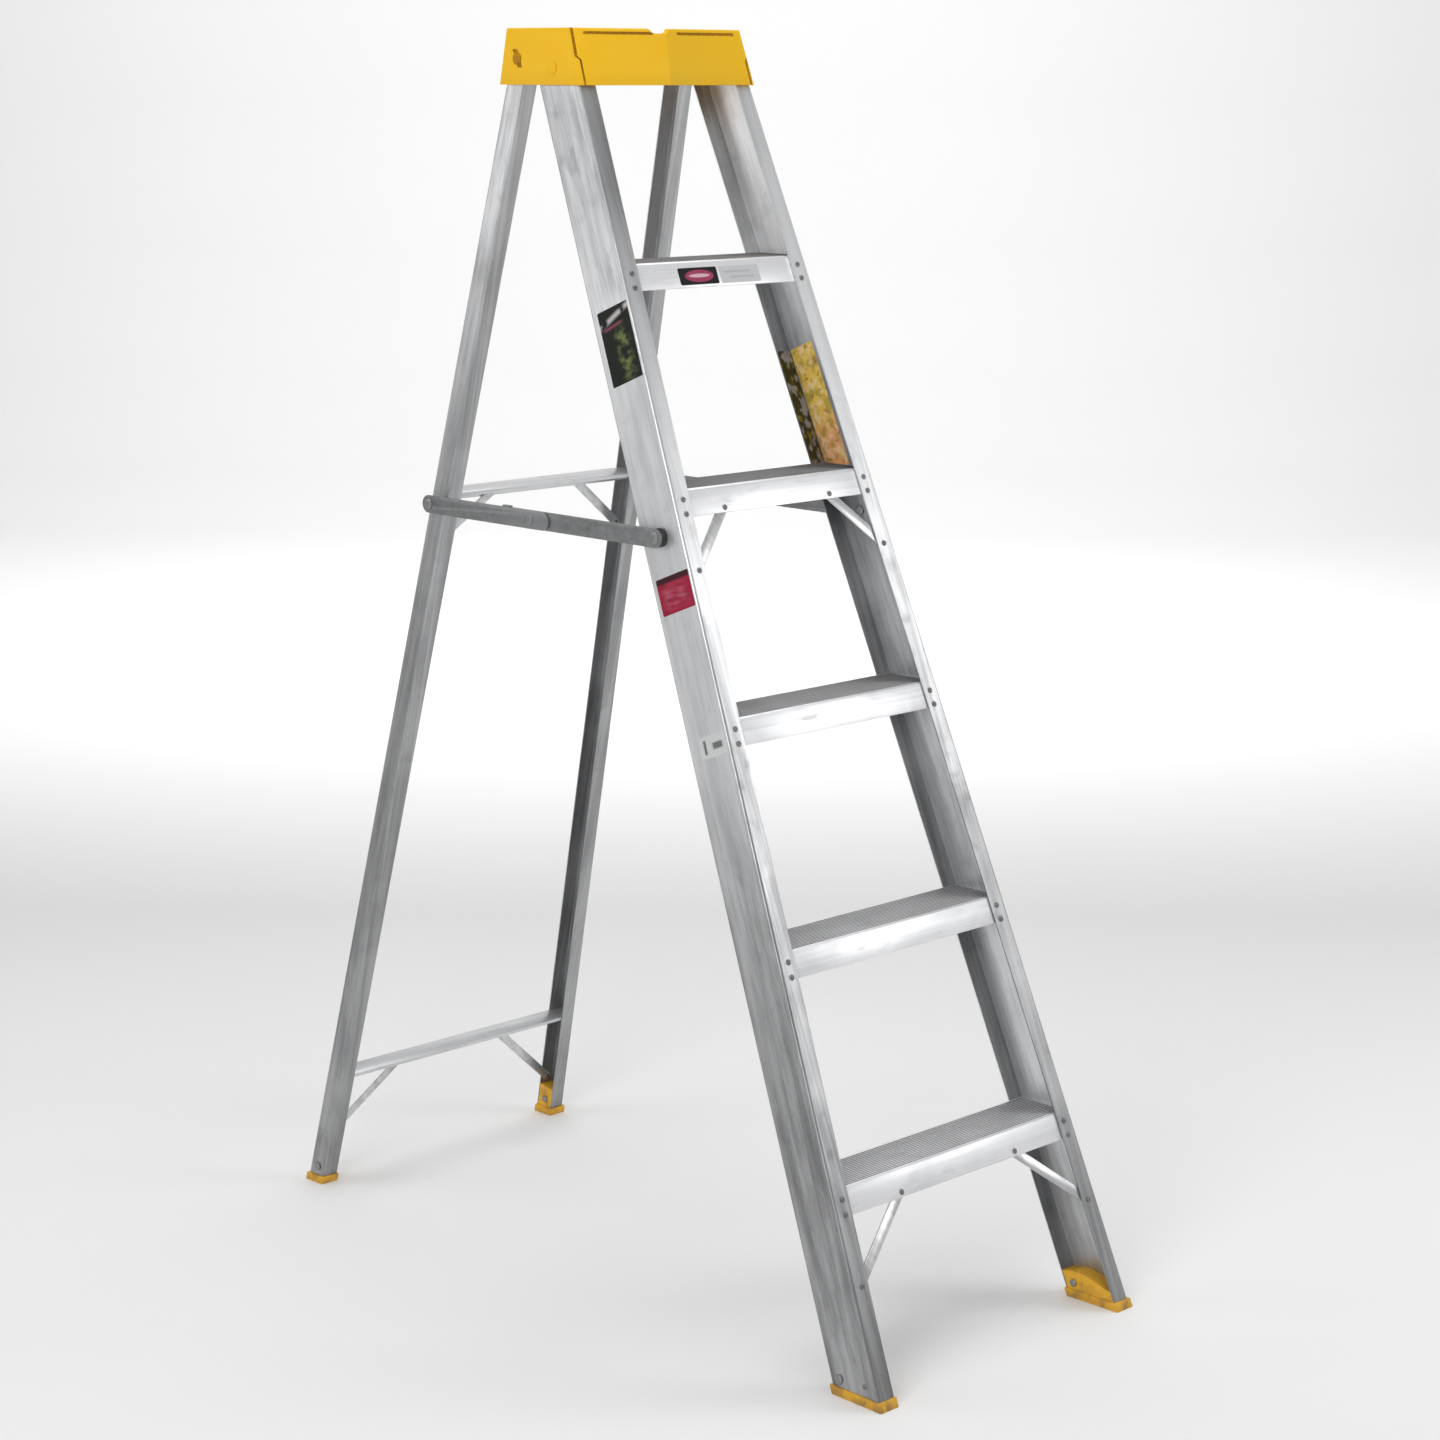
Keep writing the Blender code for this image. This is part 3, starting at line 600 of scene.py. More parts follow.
@made_once
def aluminium(name, lean_degrees, swing_degrees, lit_height_stops, wear, lit_face_stops=None):
    """Drawn mill aluminium: fine lines along the piece, cloudy oxide, scratches and floor dust.

    The height stops are (share of the ladder's height, brightness) pairs, painted light and shade up the
    piece;
    the face stops are the same for the front face of a front rail: painted highlight and shade on it by
    height.
    """
    finish = Finish(name, roughness=0.34, metallic=0.74)
    lean, swing = math.radians(lean_degrees), math.radians(swing_degrees)
    lines = finish.noise(finish.stretched((460, 460, 3.0), lean, swing), detail=2.0)
    bands = finish.noise(finish.stretched((85, 85, 1.6), lean, swing), detail=3.0)
    clouds = finish.noise(finish.stretched((16, 16, 7), lean, swing), detail=5.0, distortion=0.7)
    blotches = finish.noise(finish.place, scale=34.0, detail=4.0).ramp(0.56, 0.72)
    scratches = finish.noise(finish.stretched((900, 900, 22), lean + 0.5, swing), detail=1.0).ramp(0.70, 0.76)
    height = finish.axis("Z")
    share = height / CAD_BOX[1].z
    # painted light and shade: brightness set by height up the ladder, from the height stops
    tone = share.curve(lit_height_stops)
    if lit_face_stops:
        depth = finish.depth(FRONT)
        behind_face = depth.ramp(0.0012, 0.0036)
        # the front face of a front rail takes its own painted highlight and shade by height
        tone = share.curve(lit_face_stops) * (1.0 - behind_face) + tone * behind_face
        # painted shade on the inside face of the rear flange, deep in the channel
        inner_back = FRONT.web - sizes().rail_wall
        channel_shade = depth.between(inner_back - 0.0008, inner_back + 0.0010, 0.0004)
        tone = tone * (1.0 - channel_shade * 0.55)
    streaks = (bands * 0.60 + lines * 0.34 + clouds * 0.50).ramp(0.52, 0.94)
    # the streaks dull more where the painted light is low
    dull = streaks * wear * (1.25 - tone) + blotches * 0.10 * wear
    # the painted light and shade darken the base colour towards black
    base = finish.blend(1.0 - tone, tuple(colours().aluminium), (0.0, 0.0, 0.0))
    base = finish.blend(dull, base, tuple(0.42 * value for value in colours().aluminium_dull))
    base = finish.blend(scratches * 0.30, base, (0.80, 0.80, 0.82))
    dust = (1.0 - height.ramp(0.0, 0.09)) * clouds.ramp(0.35, 0.65) * 0.45
    base = finish.blend(dust, base, (0.17, 0.16, 0.148))
    rough = 0.27 + clouds * 0.12 + lines * 0.08 + blotches * 0.07 - scratches * 0.06
    relief = lines * 0.7 + bands * 0.3 + scratches * 0.5
    return finish.coat(base, rough, relief, strength=0.20, reach=0.0003)


@made_once
def step_metal():
    """Step sheet: paler than the rails, with lines across the ladder and rubbed edges."""
    finish = Finish("Step aluminium", roughness=0.40, metallic=0.50)
    lines = finish.noise(finish.stretched((1.6, 320, 320)), detail=2.0)
    clouds = finish.noise(finish.stretched((9, 20, 20)), detail=5.0, distortion=0.5)
    scuffs = finish.noise(finish.stretched((14, 60, 60)), detail=3.0).ramp(0.60, 0.72)
    dull = (lines * 0.35 + clouds * 0.65).ramp(0.38, 0.85) * 0.55
    base = finish.blend(dull, tuple(colours().step), tuple(colours().aluminium_dull))
    base = finish.blend(scuffs * 0.22, base, (0.42, 0.42, 0.43))
    rough = 0.32 + clouds * 0.16 + scuffs * 0.12
    return finish.coat(base, rough, lines * 0.6 + clouds * 0.4, strength=0.18, reach=0.0003)


@made_once
def tread_ribbing():
    """Grip ribs: dark grey, partly trodden dirt and partly painted shade of the ribs on one another, brighter
    along the middle where shoes rub.
    """
    finish = Finish("Grip rib aluminium", roughness=0.50, metallic=0.55)
    lines = finish.noise(finish.stretched((3, 240, 240)), detail=2.0)
    clouds = finish.noise(finish.stretched((12, 26, 26)), detail=5.0, distortion=0.5)
    trodden = (1.0 - finish.axis("X").distance().ramp(0.05, 0.17)) * clouds.ramp(0.35, 0.70)
    # the dark grey base is partly painted shade of the ribs on one another
    base = finish.blend(trodden * 0.45, tuple(colours().tread), (0.40, 0.40, 0.41))
    base = finish.blend(clouds.ramp(0.45, 0.75) * 0.5, base, (0.09, 0.09, 0.088))
    rough = 0.42 + clouds * 0.20
    return finish.coat(base, rough, lines * 0.5 + clouds * 0.5, strength=0.25, reach=0.0003)


HAND_RUB = (0.075, 0.020)       # round the spreaders' middle rivets: clear of hands, fully rubbed


@made_once
def zinc_plate(name, darkness):
    """Dull zinc plate, mottled and tarnished, rubbed brighter where a spreader is pushed."""
    finish = Finish(name, roughness=0.45, metallic=0.85)
    mottle = finish.noise(finish.place, scale=120.0, detail=4.0)
    clouds = finish.noise(finish.place, scale=24.0, detail=3.0)
    low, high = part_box("centre_rivet_head_left")
    rubbed = (finish.axis("Y") - (low.y + high.y) / 2).distance().ramp(*HAND_RUB)
    tarnish = (mottle * 0.7 + clouds * 0.7 - 0.5 + darkness - rubbed * clouds * 0.7).ramp(0.0, 1.0)
    base = finish.blend(tarnish, tuple(colours().zinc), tuple(colours().zinc_dark))
    rough = 0.36 + mottle * 0.22
    return finish.coat(base, rough, mottle, strength=0.15, reach=0.0002)


@made_once
def cap_plastic():
    """Yellow moulding: fine texture, faint flow marks, rubbed patches, darker towards the bottom, and painted
    shade on the right half of the front face.
    """
    finish = Finish("Yellow moulding", roughness=0.48, specular=0.25)
    grain = finish.noise(finish.place, scale=1400.0, detail=2.0)
    flow = finish.noise(finish.stretched((9, 9, 26)), detail=4.0, distortion=0.8)
    rubs = finish.noise(finish.stretched((26, 26, 60)), detail=4.0).ramp(0.58, 0.74)
    # darker towards the bottom of the cap, in flow-shaped patches
    lower_darkening = (1.0 - finish.axis("Z").ramp(CAD_BOX[1].z - 0.074, CAD_BOX[1].z - 0.050)) * flow
    front_top = cap_sizes().front_top
    # painted shade: the right half of the front face, ahead of the front corners, is darkened as if turned
    # from the light
    painted_front_right_shade = finish.axis("X").ramp(-0.0015, 0.0015) * finish.axis("Y").ramp(front_top + 0.005, front_top)
    base = finish.blend(flow.ramp(0.30, 0.75) * 0.45, tuple(colours().yellow), tuple(colours().yellow_worn))
    base = finish.blend(rubs * 0.25, base, (0.93, 0.60, 0.05))
    base = finish.blend(lower_darkening * 0.35, base, (0.56, 0.30, 0.01))
    # darkens the right half of the front face as painted shade
    base = finish.blend(painted_front_right_shade * (0.13 + flow * 0.12), base, (0.42, 0.28, 0.004))
    rough = 0.42 + grain * 0.14 + rubs * 0.10
    return finish.coat(base, rough, grain * 0.6 + flow * 0.4, strength=0.16, reach=0.0003)


@made_once
def shaded_recess_plastic():
    """The same moulding darkened as painted shade for grooves, slots and recesses, mottled by a fine grain.
    """
    finish = Finish("Soiled yellow moulding", roughness=0.62, specular=0.2)
    grain = finish.noise(finish.place, scale=420.0, detail=4.0)
    base = finish.blend(grain.ramp(0.35, 0.70), tuple(colours().yellow_recess_shade), (0.62, 0.31, 0.012))
    return finish.coat(base, 0.52 + grain * 0.2, grain, strength=0.25, reach=0.0003)


@made_once
def boot_plastic():
    """Orange moulding with grip lines, soiled toward the floor."""
    finish = Finish("Orange moulding", roughness=0.55)
    grain = finish.noise(finish.place, scale=700.0, detail=3.0)
    soil = finish.noise(finish.place, scale=42.0, detail=5.0, distortion=0.5)
    height = finish.axis("Z")
    near_floor = 1.0 - height.ramp(0.002, 0.016)
    grip = finish.add("ShaderNodeTexWave", {"wave_type": "BANDS", "bands_direction": "Z"},
                      {"Vector": finish.place, "Scale": 95.0, "Distortion": 0.4})
    lines = Number(finish, grip.outputs["Fac"]) * (1.0 - height.ramp(0.0095, 0.0115))
    dirt = (soil.ramp(0.42, 0.66) * 0.55 + near_floor * soil * 0.7)
    base = finish.blend(dirt, tuple(colours().orange), tuple(colours().orange_soiled))
    rough = 0.46 + soil * 0.25
    return finish.coat(base, rough, grain * 0.4 + lines * 0.6, strength=0.35, reach=0.0006)


@made_once
def spacer_plastic():
    finish = Finish("Black moulding", roughness=0.5)
    grain = finish.noise(finish.place, scale=900.0, detail=2.0)
    dust = finish.noise(finish.place, scale=90.0, detail=3.0).ramp(0.55, 0.75)
    base = finish.blend(dust * 0.5, tuple(colours().black), (0.09, 0.09, 0.088))
    return finish.coat(base, 0.42 + grain * 0.2, grain, strength=0.2, reach=0.0002)


# Brightness by share of the ladder's height: painted light and shade up each rail, one table for its webs and
# flanges and one for a front rail's front face; the crossbars and straps (BRIGHT_TONES) are nearly even, a
# little lighter towards the top.
LEFT_LIT_TONES = ((0.0, 0.52), (0.18, 0.44), (0.27, 0.49), (0.36, 0.68), (0.44, 0.94), (0.56, 1.0), (0.77, 0.90),
              (0.88, 0.62), (0.95, 0.68), (1.0, 0.94))
LEFT_LIT_FACE_TONES = ((0.0, 0.36), (0.18, 0.50), (0.30, 0.50), (0.44, 0.60), (0.56, 0.85), (0.68, 0.94),
                   (0.77, 0.86), (0.88, 0.50), (1.0, 0.66))
RIGHT_LIT_TONES = ((0.0, 0.72), (0.18, 0.90), (0.36, 0.78), (0.56, 0.72), (0.64, 0.42), (0.72, 0.50), (0.80, 1.0),
               (1.0, 1.0))
RIGHT_LIT_FACE_TONES = ((0.0, 0.42), (0.18, 0.46), (0.30, 0.34), (0.38, 0.34), (0.46, 0.48), (0.56, 0.76),
                    (0.68, 0.95), (0.80, 1.0), (0.95, 0.96), (1.0, 0.80))
REAR_LIT_TONES = ((0.0, 0.46), (0.35, 0.48), (0.60, 0.58), (1.0, 0.76))
BRIGHT_TONES = ((0.0, 0.80), (1.0, 0.90))


def front_aluminium(side_name):
    """The left rail is painted darker low down than the right: painted light and shade by height, set for
    each rail.
    """
    tones, face_tones = ((LEFT_LIT_TONES, LEFT_LIT_FACE_TONES) if side_name == "left"
                         else (RIGHT_LIT_TONES, RIGHT_LIT_FACE_TONES))
    return aluminium(f"Front rail aluminium, {side_name}", math.degrees(FRONT.lean), 0.0, tones, 1.0,
                     face_tones)


def rear_aluminium():
    return aluminium("Rear rail aluminium", math.degrees(REAR.lean), 0.0, REAR_LIT_TONES, 0.9)


def crossbar_aluminium():
    return aluminium("Crossbar aluminium", 0.0, 90.0, BRIGHT_TONES, 0.7)


def strap_aluminium():
    return aluminium("Strap aluminium", 20.0, 35.0, BRIGHT_TONES, 1.1)


# ---------------------------------------------------------------- label finishes
class LabelFinish(Finish):
    """A printed vinyl label; u runs across it and v up it, both 0 to 1."""

    def __init__(self, name):
        super().__init__(name, roughness=0.46, specular=0.25)
        self.flat = self.add("ShaderNodeTexCoord").outputs["UV"]
        self.u = self.axis("X", self.flat)
        self.v = self.axis("Y", self.flat)

    def patch(self, u, v, half_u, half_v, soft=0.02):
        """1 inside a rectangle round (u, v)."""
        across = (self.u - u).distance().ramp(half_u + soft, half_u - soft)
        upward = (self.v - v).distance().ramp(half_v + soft, half_v - soft)
        return across * upward

    def band(self, v, slope, half, soft):
        """1 along a slanted band that crosses the label at v."""
        return (self.v - self.u * slope - v).distance().ramp(half + soft, half - soft)

    def oval(self, u, v, half_u, half_v):
        across = (self.u - u) / half_u
        upward = (self.v - v) / half_v
        return (across * across + upward * upward).ramp(1.15, 0.85)

    def blotches(self, scale_u, scale_v, low, high, shift=0.0):
        """Soft patches whose size follows the label."""
        seed = bpy.context.scene.ladder_stage.labels_seed + shift
        mapping = self.add("ShaderNodeMapping", inputs={
            "Vector": self.flat, "Scale": (scale_u, scale_v, 1.0), "Location": (seed, 0.0, 0.0)})
        return self.noise(mapping.outputs["Vector"], scale=1.0, detail=2.0).ramp(low, high)

    def printed(self, base):
        """The print with its scuffs and slight unevenness."""
        scuffs = self.noise(self.place, scale=150.0, detail=3.0).ramp(0.62, 0.80)
        base = self.blend(scuffs * 0.10, base, (0.40, 0.40, 0.39))
        ripple = self.noise(self.place, scale=60.0, detail=2.0)
        return self.coat(base, 0.42 + ripple * 0.16, ripple, strength=0.12, reach=0.0003)


def black_label():
    finish = LabelFinish("Black and green label")
    green = finish.blotches(4, 9, 0.40, 0.66) * finish.patch(0.62, 0.36, 0.20, 0.31, 0.12)
    light = finish.band(0.79, 0.16, 0.030, 0.030) * finish.blotches(3, 5, 0.36, 0.50, 7.0)
    lower = finish.band(0.735, 0.05, 0.016, 0.020) * finish.patch(0.42, 0.74, 0.30, 0.2, 0.10)
    base = finish.blend(green * 0.8, (0.006, 0.008, 0.005), (0.17, 0.22, 0.07))
    base = finish.blend(light * 0.85, base, (0.62, 0.58, 0.58))
    base = finish.blend(lower * 0.8, base, (0.30, 0.07, 0.12))
    return finish.printed(base)


def red_label():
    finish = LabelFinish("Red label")
    pale = finish.blotches(2.5, 7, 0.30, 0.85) * finish.patch(0.5, 0.44, 0.34, 0.28, 0.16)
    deep = finish.blotches(3, 4, 0.50, 0.72, 5.0)
    base = finish.blend(deep * 0.5, (0.33, 0.008, 0.040), (0.16, 0.004, 0.018))
    base = finish.blend(pale * 0.6, base, (0.60, 0.20, 0.27))
    base = finish.blend(finish.patch(0.5, 0.93, 0.52, 0.085), base, (0.045, 0.006, 0.012))
    return finish.printed(base)


def white_label():
    finish = LabelFinish("Pale label")
    base = finish.blend(finish.patch(0.20, 0.50, 0.045, 0.32, 0.03), (0.60, 0.605, 0.61), (0.13, 0.13, 0.135))
    base = finish.blend(finish.patch(0.66, 0.48, 0.18, 0.15, 0.05), base, (0.16, 0.16, 0.165))
    return finish.printed(base)


def caution_label():
    """Mottled yellow to salmon panel; no words and no symbols."""
    finish = LabelFinish("Yellow and salmon label")
    olive = finish.blotches(2.6, 9, 0.46, 0.64)
    pale = finish.blotches(3.2, 11, 0.48, 0.66, 9.0)
    brown = finish.blotches(5, 17, 0.56, 0.70, 17.0)
    base = finish.blend(finish.v.ramp(0.20, 0.55), (0.72, 0.34, 0.14), (0.74, 0.50, 0.09))
    base = finish.blend(olive * 0.60, base, (0.28, 0.22, 0.035))
    base = finish.blend(pale * 0.65, base, (0.84, 0.64, 0.36))
    base = finish.blend(brown * 0.70, base, (0.25, 0.10, 0.035))
    return finish.printed(base)


def caution_flange_label():
    """The same panel folded on the flange, painted mostly olive and black: its print darkened as painted
    shade inside the channel.
    """
    finish = LabelFinish("Olive label")
    pale = finish.blotches(1.6, 8, 0.50, 0.62)
    gold = finish.blotches(3.0, 14, 0.54, 0.66, 11.0)
    base = finish.blend(gold * 0.7, (0.050, 0.045, 0.012), (0.34, 0.25, 0.03))
    base = finish.blend(pale * 0.75, base, (0.42, 0.38, 0.40))
    return finish.printed(base)


def oval_label():
    finish = LabelFinish("Black label with an oval")
    base = finish.blend(finish.oval(0.52, 0.5, 0.37, 0.36), (0.008, 0.007, 0.008), (0.34, 0.045, 0.11))
    base = finish.blend(finish.oval(0.52, 0.52, 0.27, 0.11), base, (0.66, 0.42, 0.48))
    return finish.printed(base)


def grey_label():
    finish = LabelFinish("Grey label")
    rows = finish.patch(0.44, 0.66, 0.34, 0.05, 0.06) + finish.patch(0.55, 0.34, 0.30, 0.05, 0.06)
    base = finish.blend(rows * 0.4, (0.56, 0.565, 0.58), (0.24, 0.24, 0.25))
    return finish.printed(base)


# ---------------------------------------------------------------- operators
class LADDER_OT_rails(Operator):
    """Give the four channel rails their drawn aluminium"""

    bl_idname = "ladder.rails"
    bl_label = "Rails"

    def execute(self, context):
        for side_name in SIDES:
            paint("front_rail_" + side_name, front_aluminium(side_name))
            paint("rear_rail_" + side_name, rear_aluminium())
        return {"FINISHED"}


class LADDER_OT_steps(Operator):
    """Round the edges of the five steps"""

    bl_idname = "ladder.steps"
    bl_label = "Steps"

    def execute(self, context):
        for index in range(len(TREADS)):
            soften(f"step_{index + 1}", sizes().sheet_edge, step_metal())
        return {"FINISHED"}


class LADDER_OT_tread_ribs(Operator):
    """Run grip ribs across every tread and over the cap's tray"""

    bl_idname = "ladder.tread_ribs"
    bl_label = "Grip ribs"

    def execute(self, context):
        size = sizes()
        tree = rib_tree()
        for index, (_x, middle, level) in enumerate(TREADS):
            half = FRONT.half(FRONT.along(0, level)) - size.rail_wall - size.rib_margin
            reach = FRONT.web / math.cos(FRONT.lean) / 2 - size.rib_margin
            self.field(tree, f"step_{index + 1}_ribs", (middle - reach, middle + reach), half, level,
                       tread_ribbing(), "step_aluminium")
        cap = cap_sizes()
        front = cap.front_top + cap.rim_width + size.rib_margin
        rear = cap.rear_top - cap.rim_width - size.rib_margin
        half = cap.tray_half - 2 * size.rib_margin
        self.field(tree, "tray_ribs", (front, rear), half, CAD_BOX[1].z - cap.rim, cap_plastic(),
                   "yellow_plastic")
        return {"FINISHED"}

    def field(self, tree, name, span, half, level, finish, slot):
        """One flat field of ribs along X, sunk by half their height."""
        size = sizes()
        count = int((span[1] - span[0]) / size.rib_pitch)
        start = (span[0] + span[1] - count * size.rib_pitch) / 2
        mesh_data = bmesh.new()
        for index in range(count + 1):
            y = start + index * size.rib_pitch
            ends = [mesh_data.verts.new((side * half, y, level)) for side in (-1, 1)]
            mesh_data.edges.new(ends)
        piece = add_piece(name, mesh_data, finish)
        run_tree(piece, tree, {"Width": size.rib_width, "Height": 2 * size.rib_height, "Finish": finish})
        shade(piece, 60)
        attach(piece, "front_frame")


class LADDER_OT_braces(Operator):
    """Round the edges of the rear crossbars and of every knee strap"""

    bl_idname = "ladder.braces"
    bl_label = "Crossbars and straps"

    def execute(self, context):
        for node in nodes_named("rear_brace"):
            soften(node, sizes().sheet_edge, crossbar_aluminium())
        for node in nodes_named("step_brace", "rear_knee"):
            soften(node, sizes().sheet_edge, strap_aluminium())
        return {"FINISHED"}


class LADDER_OT_spreaders(Operator):
    """Finish the spreader links, their studs and spacers, and the other studs"""

    bl_idname = "ladder.spreaders"
    bl_label = "Spreaders and studs"

    def execute(self, context):
        for node in nodes_named("spreader"):
            soften(node, sizes().sheet_edge, zinc_plate("Link zinc", 0.05))
        bright = zinc_plate("Stud zinc", -0.40)
        studs = nodes_named("front_stud", "rear_stud", "centre_rivet", "rear_spacer", "front_foot_bolt",
                            "rear_foot_bolt")
        for node in studs:
            paint(node, bright)
        for node in nodes_named("front_spacer"):
            paint(node, spacer_plastic())
        for node in nodes_named("cap_stud"):
            paint(node, cap_plastic())
        # painted shade: the pivot studs sit in the side recesses and are darkened like them
        for node in nodes_named("pivot_stud"):
            paint(node, shaded_recess_plastic())
        return {"FINISHED"}


class LADDER_OT_rivets(Operator):
    """Set the rivets that join steps, crossbars and straps to the rails"""

    bl_idname = "ladder.rivets"
    bl_label = "Rivets"

    TAIL = 0.78         # sizes of the smaller heads, as shares of a rail rivet's
    INSIDE = 0.9
    BOOT = 0.85

    def execute(self, context):
        finish = zinc_plate("Rivet zinc", 0.22)
        head = rivet_head(finish)
        tree = rivet_tree()
        for body, places in (("front_frame", self.front_places()), ("rear_frame", self.rear_places())):
            mesh = bpy.data.meshes.new(body + "_rivets")
            mesh.from_pydata([place for place, _facing, _size in places], [], [])
            facing = mesh.attributes.new("facing", "FLOAT_VECTOR", "POINT")
            facing.data.foreach_set("vector", [value for _p, way, _s in places for value in way])
            size = mesh.attributes.new("size", "FLOAT", "POINT")
            size.data.foreach_set("value", [share for _p, _f, share in places])
            piece = bpy.data.objects.new(mesh.name, mesh)
            context.scene.collection.objects.link(piece)
            run_tree(piece, tree, {"Head": head, "Radius": sizes().rivet_radius,
                                   "Rise": sizes().rivet_rise, "Finish": finish})
            shade(piece, 40)
            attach(piece, body)
        bpy.data.objects.remove(head, do_unlink=True)
        return {"FINISHED"}

    def strap_ends(self, node, side, width, rails):
        """The two rivet centres of a strap, upper first, as (x, level)."""
        low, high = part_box(node)
        reach = width / 2
        inner, outer = (low.x, high.x) if side > 0 else (high.x, low.x)
        rise = reach * math.cos(rails.lean)
        return [(inner + side * reach, high.z - rise), (outer - side * reach, low.z + rise)]

    def front_places(self):
        """Rivets of the steps and their knee straps."""
        size = sizes()
        ahead, behind = FRONT.front_normal, -FRONT.front_normal
        lip = size.rail_wall + size.clearance
        lip_back = lip + size.step_wall
        places = []
        for side in SIDES.values():
            for _x, _y, level in TREADS:
                for drop in (size.upper_rivet_drop, size.lower_rivet_drop):
                    inset = size.rivet_inset
                    places.append((FRONT.on_rail(side, inset, 0, level - drop), ahead, 1.0))
                    places.append((FRONT.on_rail(side, inset, lip_back, level - drop), behind, self.TAIL))
                rear_level = level - size.upper_rivet_drop
                places.append((FRONT.on_rail(side, size.rivet_inset, FRONT.web, rear_level), behind, 1.0))
            boot = FRONT.on_rail(side, 0, size.boot_rivet_depth, size.boot_rivet_level)
            places.append((boot, Vector((side, 0, 0)), self.BOOT))
        for node in nodes_named("step_brace"):
            side = SIDES[node.rsplit("_", 1)[1]]
            upper, lower = self.strap_ends(node, side, size.front_strap_width, FRONT)
            strap_back = lip + size.strap_wall
            lip_strap_back = lip_back + 3 * size.clearance + size.strap_wall
            for (x, level), head, tail in ((upper, lip, lip_strap_back), (lower, 0, strap_back)):
                places.append((FRONT.at_level(x, head, level), ahead, 1.0))
                places.append((FRONT.at_level(x, tail, level), behind, self.TAIL))
        return places

    def rear_places(self):
        """Rivets of the crossbars and their knee straps."""
        size = sizes()
        ahead, behind = REAR.front_normal, -REAR.front_normal
        wall_face = REAR.web - size.rear_wall - size.clearance
        places = []
        for node in nodes_named("rear_brace"):
            low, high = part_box(node)
            level = (low.z + high.z) / 2
            for side in SIDES.values():
                places.append((REAR.on_rail(side, size.rear_rivet_inset, REAR.web, level), behind, 1.0))
                inside = wall_face - size.brace_wall
                places.append((REAR.on_rail(side, size.rear_rivet_inset, inside, level), ahead,
                               self.INSIDE))
        for node in nodes_named("rear_knee"):
            side = SIDES[node.rsplit("_", 1)[1]]
            upper, lower = self.strap_ends(node, side, size.rear_strap_width, REAR)
            strap_face = wall_face - size.strap_wall
            bar_face = strap_face - size.brace_wall - 3 * size.clearance
            for (x, level), tail, head in ((upper, bar_face, wall_face), (lower, strap_face, REAR.web)):
                places.append((REAR.at_level(x, tail, level), ahead, self.INSIDE))
                places.append((REAR.at_level(x, head, level), behind, 1.0))
        return places


